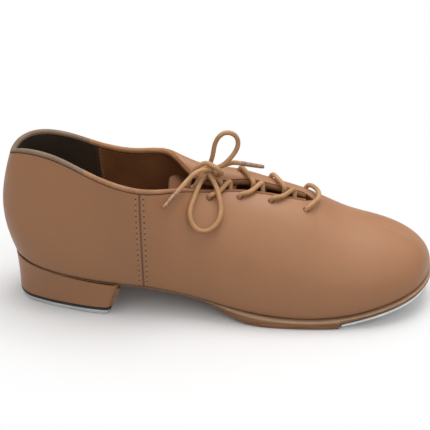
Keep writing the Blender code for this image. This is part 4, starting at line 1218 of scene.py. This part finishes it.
TAPE_RIB, TAPE_DEPTH = 0.0008, 0.00012
# Each front tape's last colour is painted shade along the slit.
for piece, name, dark, light, rough, slit in (
        (bindings[0], "grey_tan_tape", (0.160, 0.100, 0.062), (0.400, 0.270, 0.180), 0.72, None),
        (bindings[1], "tan_tape", (0.260, 0.112, 0.048), (0.560, 0.300, 0.160), 0.68, (0.330, 0.150, 0.068)),
        (bindings[2], "orange_tan_tape", (0.260, 0.105, 0.038), (0.600, 0.300, 0.130), 0.68,
         (0.240, 0.105, 0.045))):
    dress(woven(name, dark, light, TAPE_RIB, 0, TAPE_DEPTH, rough, True, slit=slit), piece)
cord = woven(
    "tan_braided_cord", (0.320, 0.155, 0.062), (0.740, 0.420, 0.205), 0.0019, 5.0, 0.00022, 0.62, False)
dress(cord, lace)
made, tree, shader = finish_for("brown_tip_plastic", Specular_IOR_Level=0.55, Coat_Weight=0.4)
place = own_place(tree)
swirl = noise(tree, place, 420.0, 3.0)
tint = mixed(tree, ramp(tree, swirl, 0.3, 0.7), (0.300, 0.145, 0.070), (0.460, 0.245, 0.130))
look(tree, shader, tint, ramp(tree, swirl, 0.3, 0.7, 0.22, 0.36), bump(tree, swirl, 0.000012))
dress(made, *aglets)
print("woven finishes done")

# %% [markdown]
# ## Sole edge, boards and taps
#
# The sole's edge is inked and burnished, and its top bead carries a painted highlight where it faces
# up. The sounding boards are painted black. The taps are cast aluminium, tumbled and then brushed:
# the fine scratches run along the shoe, and the ground side is scuffed.

# %% Sole leather
made, tree, shader = finish_for("burnished_sole_leather", Specular_IOR_Level=0.4)
place = own_place(tree)
down = uv(tree)[1]
hide = use(tree, grain, Place=place, Pore_Size=0.0004)
flat_lying = node(tree, "Mapping", Vector=place, Scale=(60, 60, 2600))
layers = noise(tree, flat_lying, 1.0, 3.0)
edge_colour = mixed(tree, ramp(tree, layers, 0.35, 0.65), (0.250, 0.105, 0.042), (0.420, 0.200, 0.092))
# Painted highlight: the top bead of the edge, which faces up, gets a light brown.
painted_top_highlight = mixed(tree, hide["Cloud"], (0.500, 0.320, 0.190), (0.600, 0.400, 0.250))
walked = mixed(tree, hide["Cloud"], (0.330, 0.180, 0.095), (0.450, 0.265, 0.150))
colour = mixed(tree, ramp(tree, down, 0.30, 0.24), edge_colour, painted_top_highlight)
colour = mixed(tree, ramp(tree, down, 0.93, 1.0), colour, walked)
height = plus(tree, times(tree, hide["Height"], 0.00004), times(tree, layers, 0.00005))
look(tree, shader, colour, ramp(tree, hide["Cloud"], 0.0, 1.0, 0.34, 0.50), bump(tree, height, 1.0))
dress(made, outsole)


# %% Painted board and metals
def hard(name, dark, light, metallic, rough, scale, depth, stretch=(1, 1, 1), specular=0.5):
    """A hard finish: two tones, and streaks or specks in its roughness and bump."""
    made, tree, shader = finish_for(name, Metallic=metallic, Specular_IOR_Level=specular)
    place = node(tree, "Mapping", Vector=own_place(tree), Scale=stretch)
    specks = noise(tree, place, scale, 6.0, Roughness=0.65)
    tone = noise(tree, own_place(tree), 70.0, 3.0)
    tint = mixed(tree, ramp(tree, tone, 0.3, 0.7), dark, light)
    dull = ramp(tree, specks, 0.3, 0.7, rough - 0.08, rough + 0.08)
    look(tree, shader, tint, dull, bump(tree, specks, depth))
    return made


dress(hard(
    "black_painted_board", (0.010, 0.010, 0.011), (0.022, 0.021, 0.021), 0.0, 0.5, 900.0, 0.00004),
    toe_board, heel_board)
dress(hard(
    "brushed_aluminium", (0.62, 0.62, 0.61), (0.76, 0.76, 0.75), 1.0, 0.36, 260.0, 0.00005, (1, 7, 7)),
    toe_tap, heel_tap)
dress(hard("zinc_screw", (0.50, 0.49, 0.46), (0.66, 0.65, 0.61), 1.0, 0.34, 1500.0, 0.00003), *placed)
tapes = ["%s_%s" % (tape, side) for tape in ("side_seam_tape", "eyelet_stay") for side in SIDES]
inside = {
    "stiffener_felt": (("toe_puff", "heel_counter"), (0.48, 0.42, 0.32), (0.64, 0.58, 0.47), 0.85, 1800.0),
    "woven_tape_cloth": (tapes, (0.55, 0.52, 0.44), (0.72, 0.69, 0.60), 0.88, 2200.0),
    "fibre_board": (("insole_board",), (0.34, 0.24, 0.14), (0.48, 0.36, 0.23), 0.85, 1400.0),
    "heel_foam": (("heel_pad",), (0.70, 0.64, 0.46), (0.82, 0.77, 0.60), 0.9, 2400.0),
    "ground_cork": (("bottom_filler",), (0.20, 0.11, 0.055), (0.42, 0.26, 0.14), 0.9, 1100.0),
    "stacked_heel_leather": (("heel_block",), (0.24, 0.125, 0.062), (0.38, 0.215, 0.115), 0.6, 800.0),
}
for name, (nodes, dark, light, rough, scale) in inside.items():
    finish = hard(name, dark, light, 0.0, rough, scale, 0.00008, specular=0.25)
    dress(finish, *[bpy.data.objects[n] for n in nodes])
steel = hard("spring_steel", (0.40, 0.40, 0.41), (0.55, 0.55, 0.56), 1.0, 0.4, 500.0, 0.00004, (1, 6, 6))
nails = ["heel_nail_%d" % number for number in range(1, 5)]
dress(steel, *[bpy.data.objects[n] for n in ("shank", "heel_screw", *nails)])
print("materials:", len(bpy.data.materials))

# %% [markdown]
# ## Floor and light
#
# The shoe stands on a plain white floor that runs on into a white background. The floor catches the
# shadow near the shoe, and further out its material glows at strength 1, which is white. A soft
# sky, a broad lamp above the shoe and a weak one in front of it light the leather at a plain level.

# %% Floor
deselect()
bpy.ops.mesh.primitive_circle_add(vertices=96, radius=3.0, fill_type="NGON", location=(0, 0, -0.00005))
floor = bpy.context.object
floor.name = "floor"
bpy.ops.object.transform_apply()
made, tree, shader = finish_for("white_floor", Roughness=0.9, Specular_IOR_Level=0.0)
place = node(tree, "Mapping", Vector=own_place(tree), Scale=(1, 1.9, 1))
length = node(tree, "VectorMath", out=1, settings={"operation": "LENGTH"}, Vector=place)
path = tree.nodes.new("ShaderNodeLightPath")
seen = maths(tree, "MAXIMUM", path.outputs["Is Camera Ray"], path.outputs["Is Glossy Ray"])
put(tree, shader["Base Color"], mixed(tree, seen, (0.30, 0.30, 0.30), (0.93, 0.93, 0.93)))
share = times(tree, ramp(tree, length, 0.15, 0.26), seen)
lit_or_glowing = tree.nodes.new("ShaderNodeMixShader")
glow = node(tree, "Emission", Color=(1.0, 1.0, 1.0), Strength=1.0)
put(tree, lit_or_glowing.inputs[0], share)
put(tree, lit_or_glowing.inputs[1], tree.nodes["Principled BSDF"].outputs[0])
put(tree, lit_or_glowing.inputs[2], glow)
put(tree, tree.nodes["Material Output"].inputs[0], lit_or_glowing.outputs[0])
dress(made, floor)

# %% World and lamp
world = bpy.data.worlds.new("soft_room")
bpy.context.scene.world = world
world.use_nodes = True
tree = world.node_tree
path = tree.nodes.new("ShaderNodeLightPath")
seen = maths(tree, "MAXIMUM", path.outputs["Is Camera Ray"], path.outputs["Is Transmission Ray"])
rise = tree.nodes.new("ShaderNodeSeparateXYZ")
put(tree, rise.inputs[0], node(tree, "TexCoord", out=0))
from_above = ramp(tree, rise.outputs[2], 0.0, 1.0, 0.25, 1.0)
sky = node(tree, "Background", Color=(1.0, 1.0, 1.0), Strength=from_above)
white = node(tree, "Background", Color=(1.0, 1.0, 1.0), Strength=1.0)
both = tree.nodes.new("ShaderNodeMixShader")
for place, value in enumerate((seen, sky, white)):
    put(tree, both.inputs[place], value)
put(tree, tree.nodes["World Output"].inputs[0], both.outputs[0])
for name, size, power, spot in (("key", 0.7, 5.5, (0.15, 0.22, 1.2)), ("fill", 0.8, 0.8, (0.5, -0.9, 0.6))):
    lamp = bpy.data.lights.new(name, "AREA")
    lamp.size = size
    lamp.energy = power
    held = bpy.data.objects.new(name, lamp)
    held.location = spot
    held.rotation_euler = Vector(spot).to_track_quat("Z", "Y").to_euler()
    bpy.context.scene.collection.objects.link(held)
print("lit by the sky and two lamps")
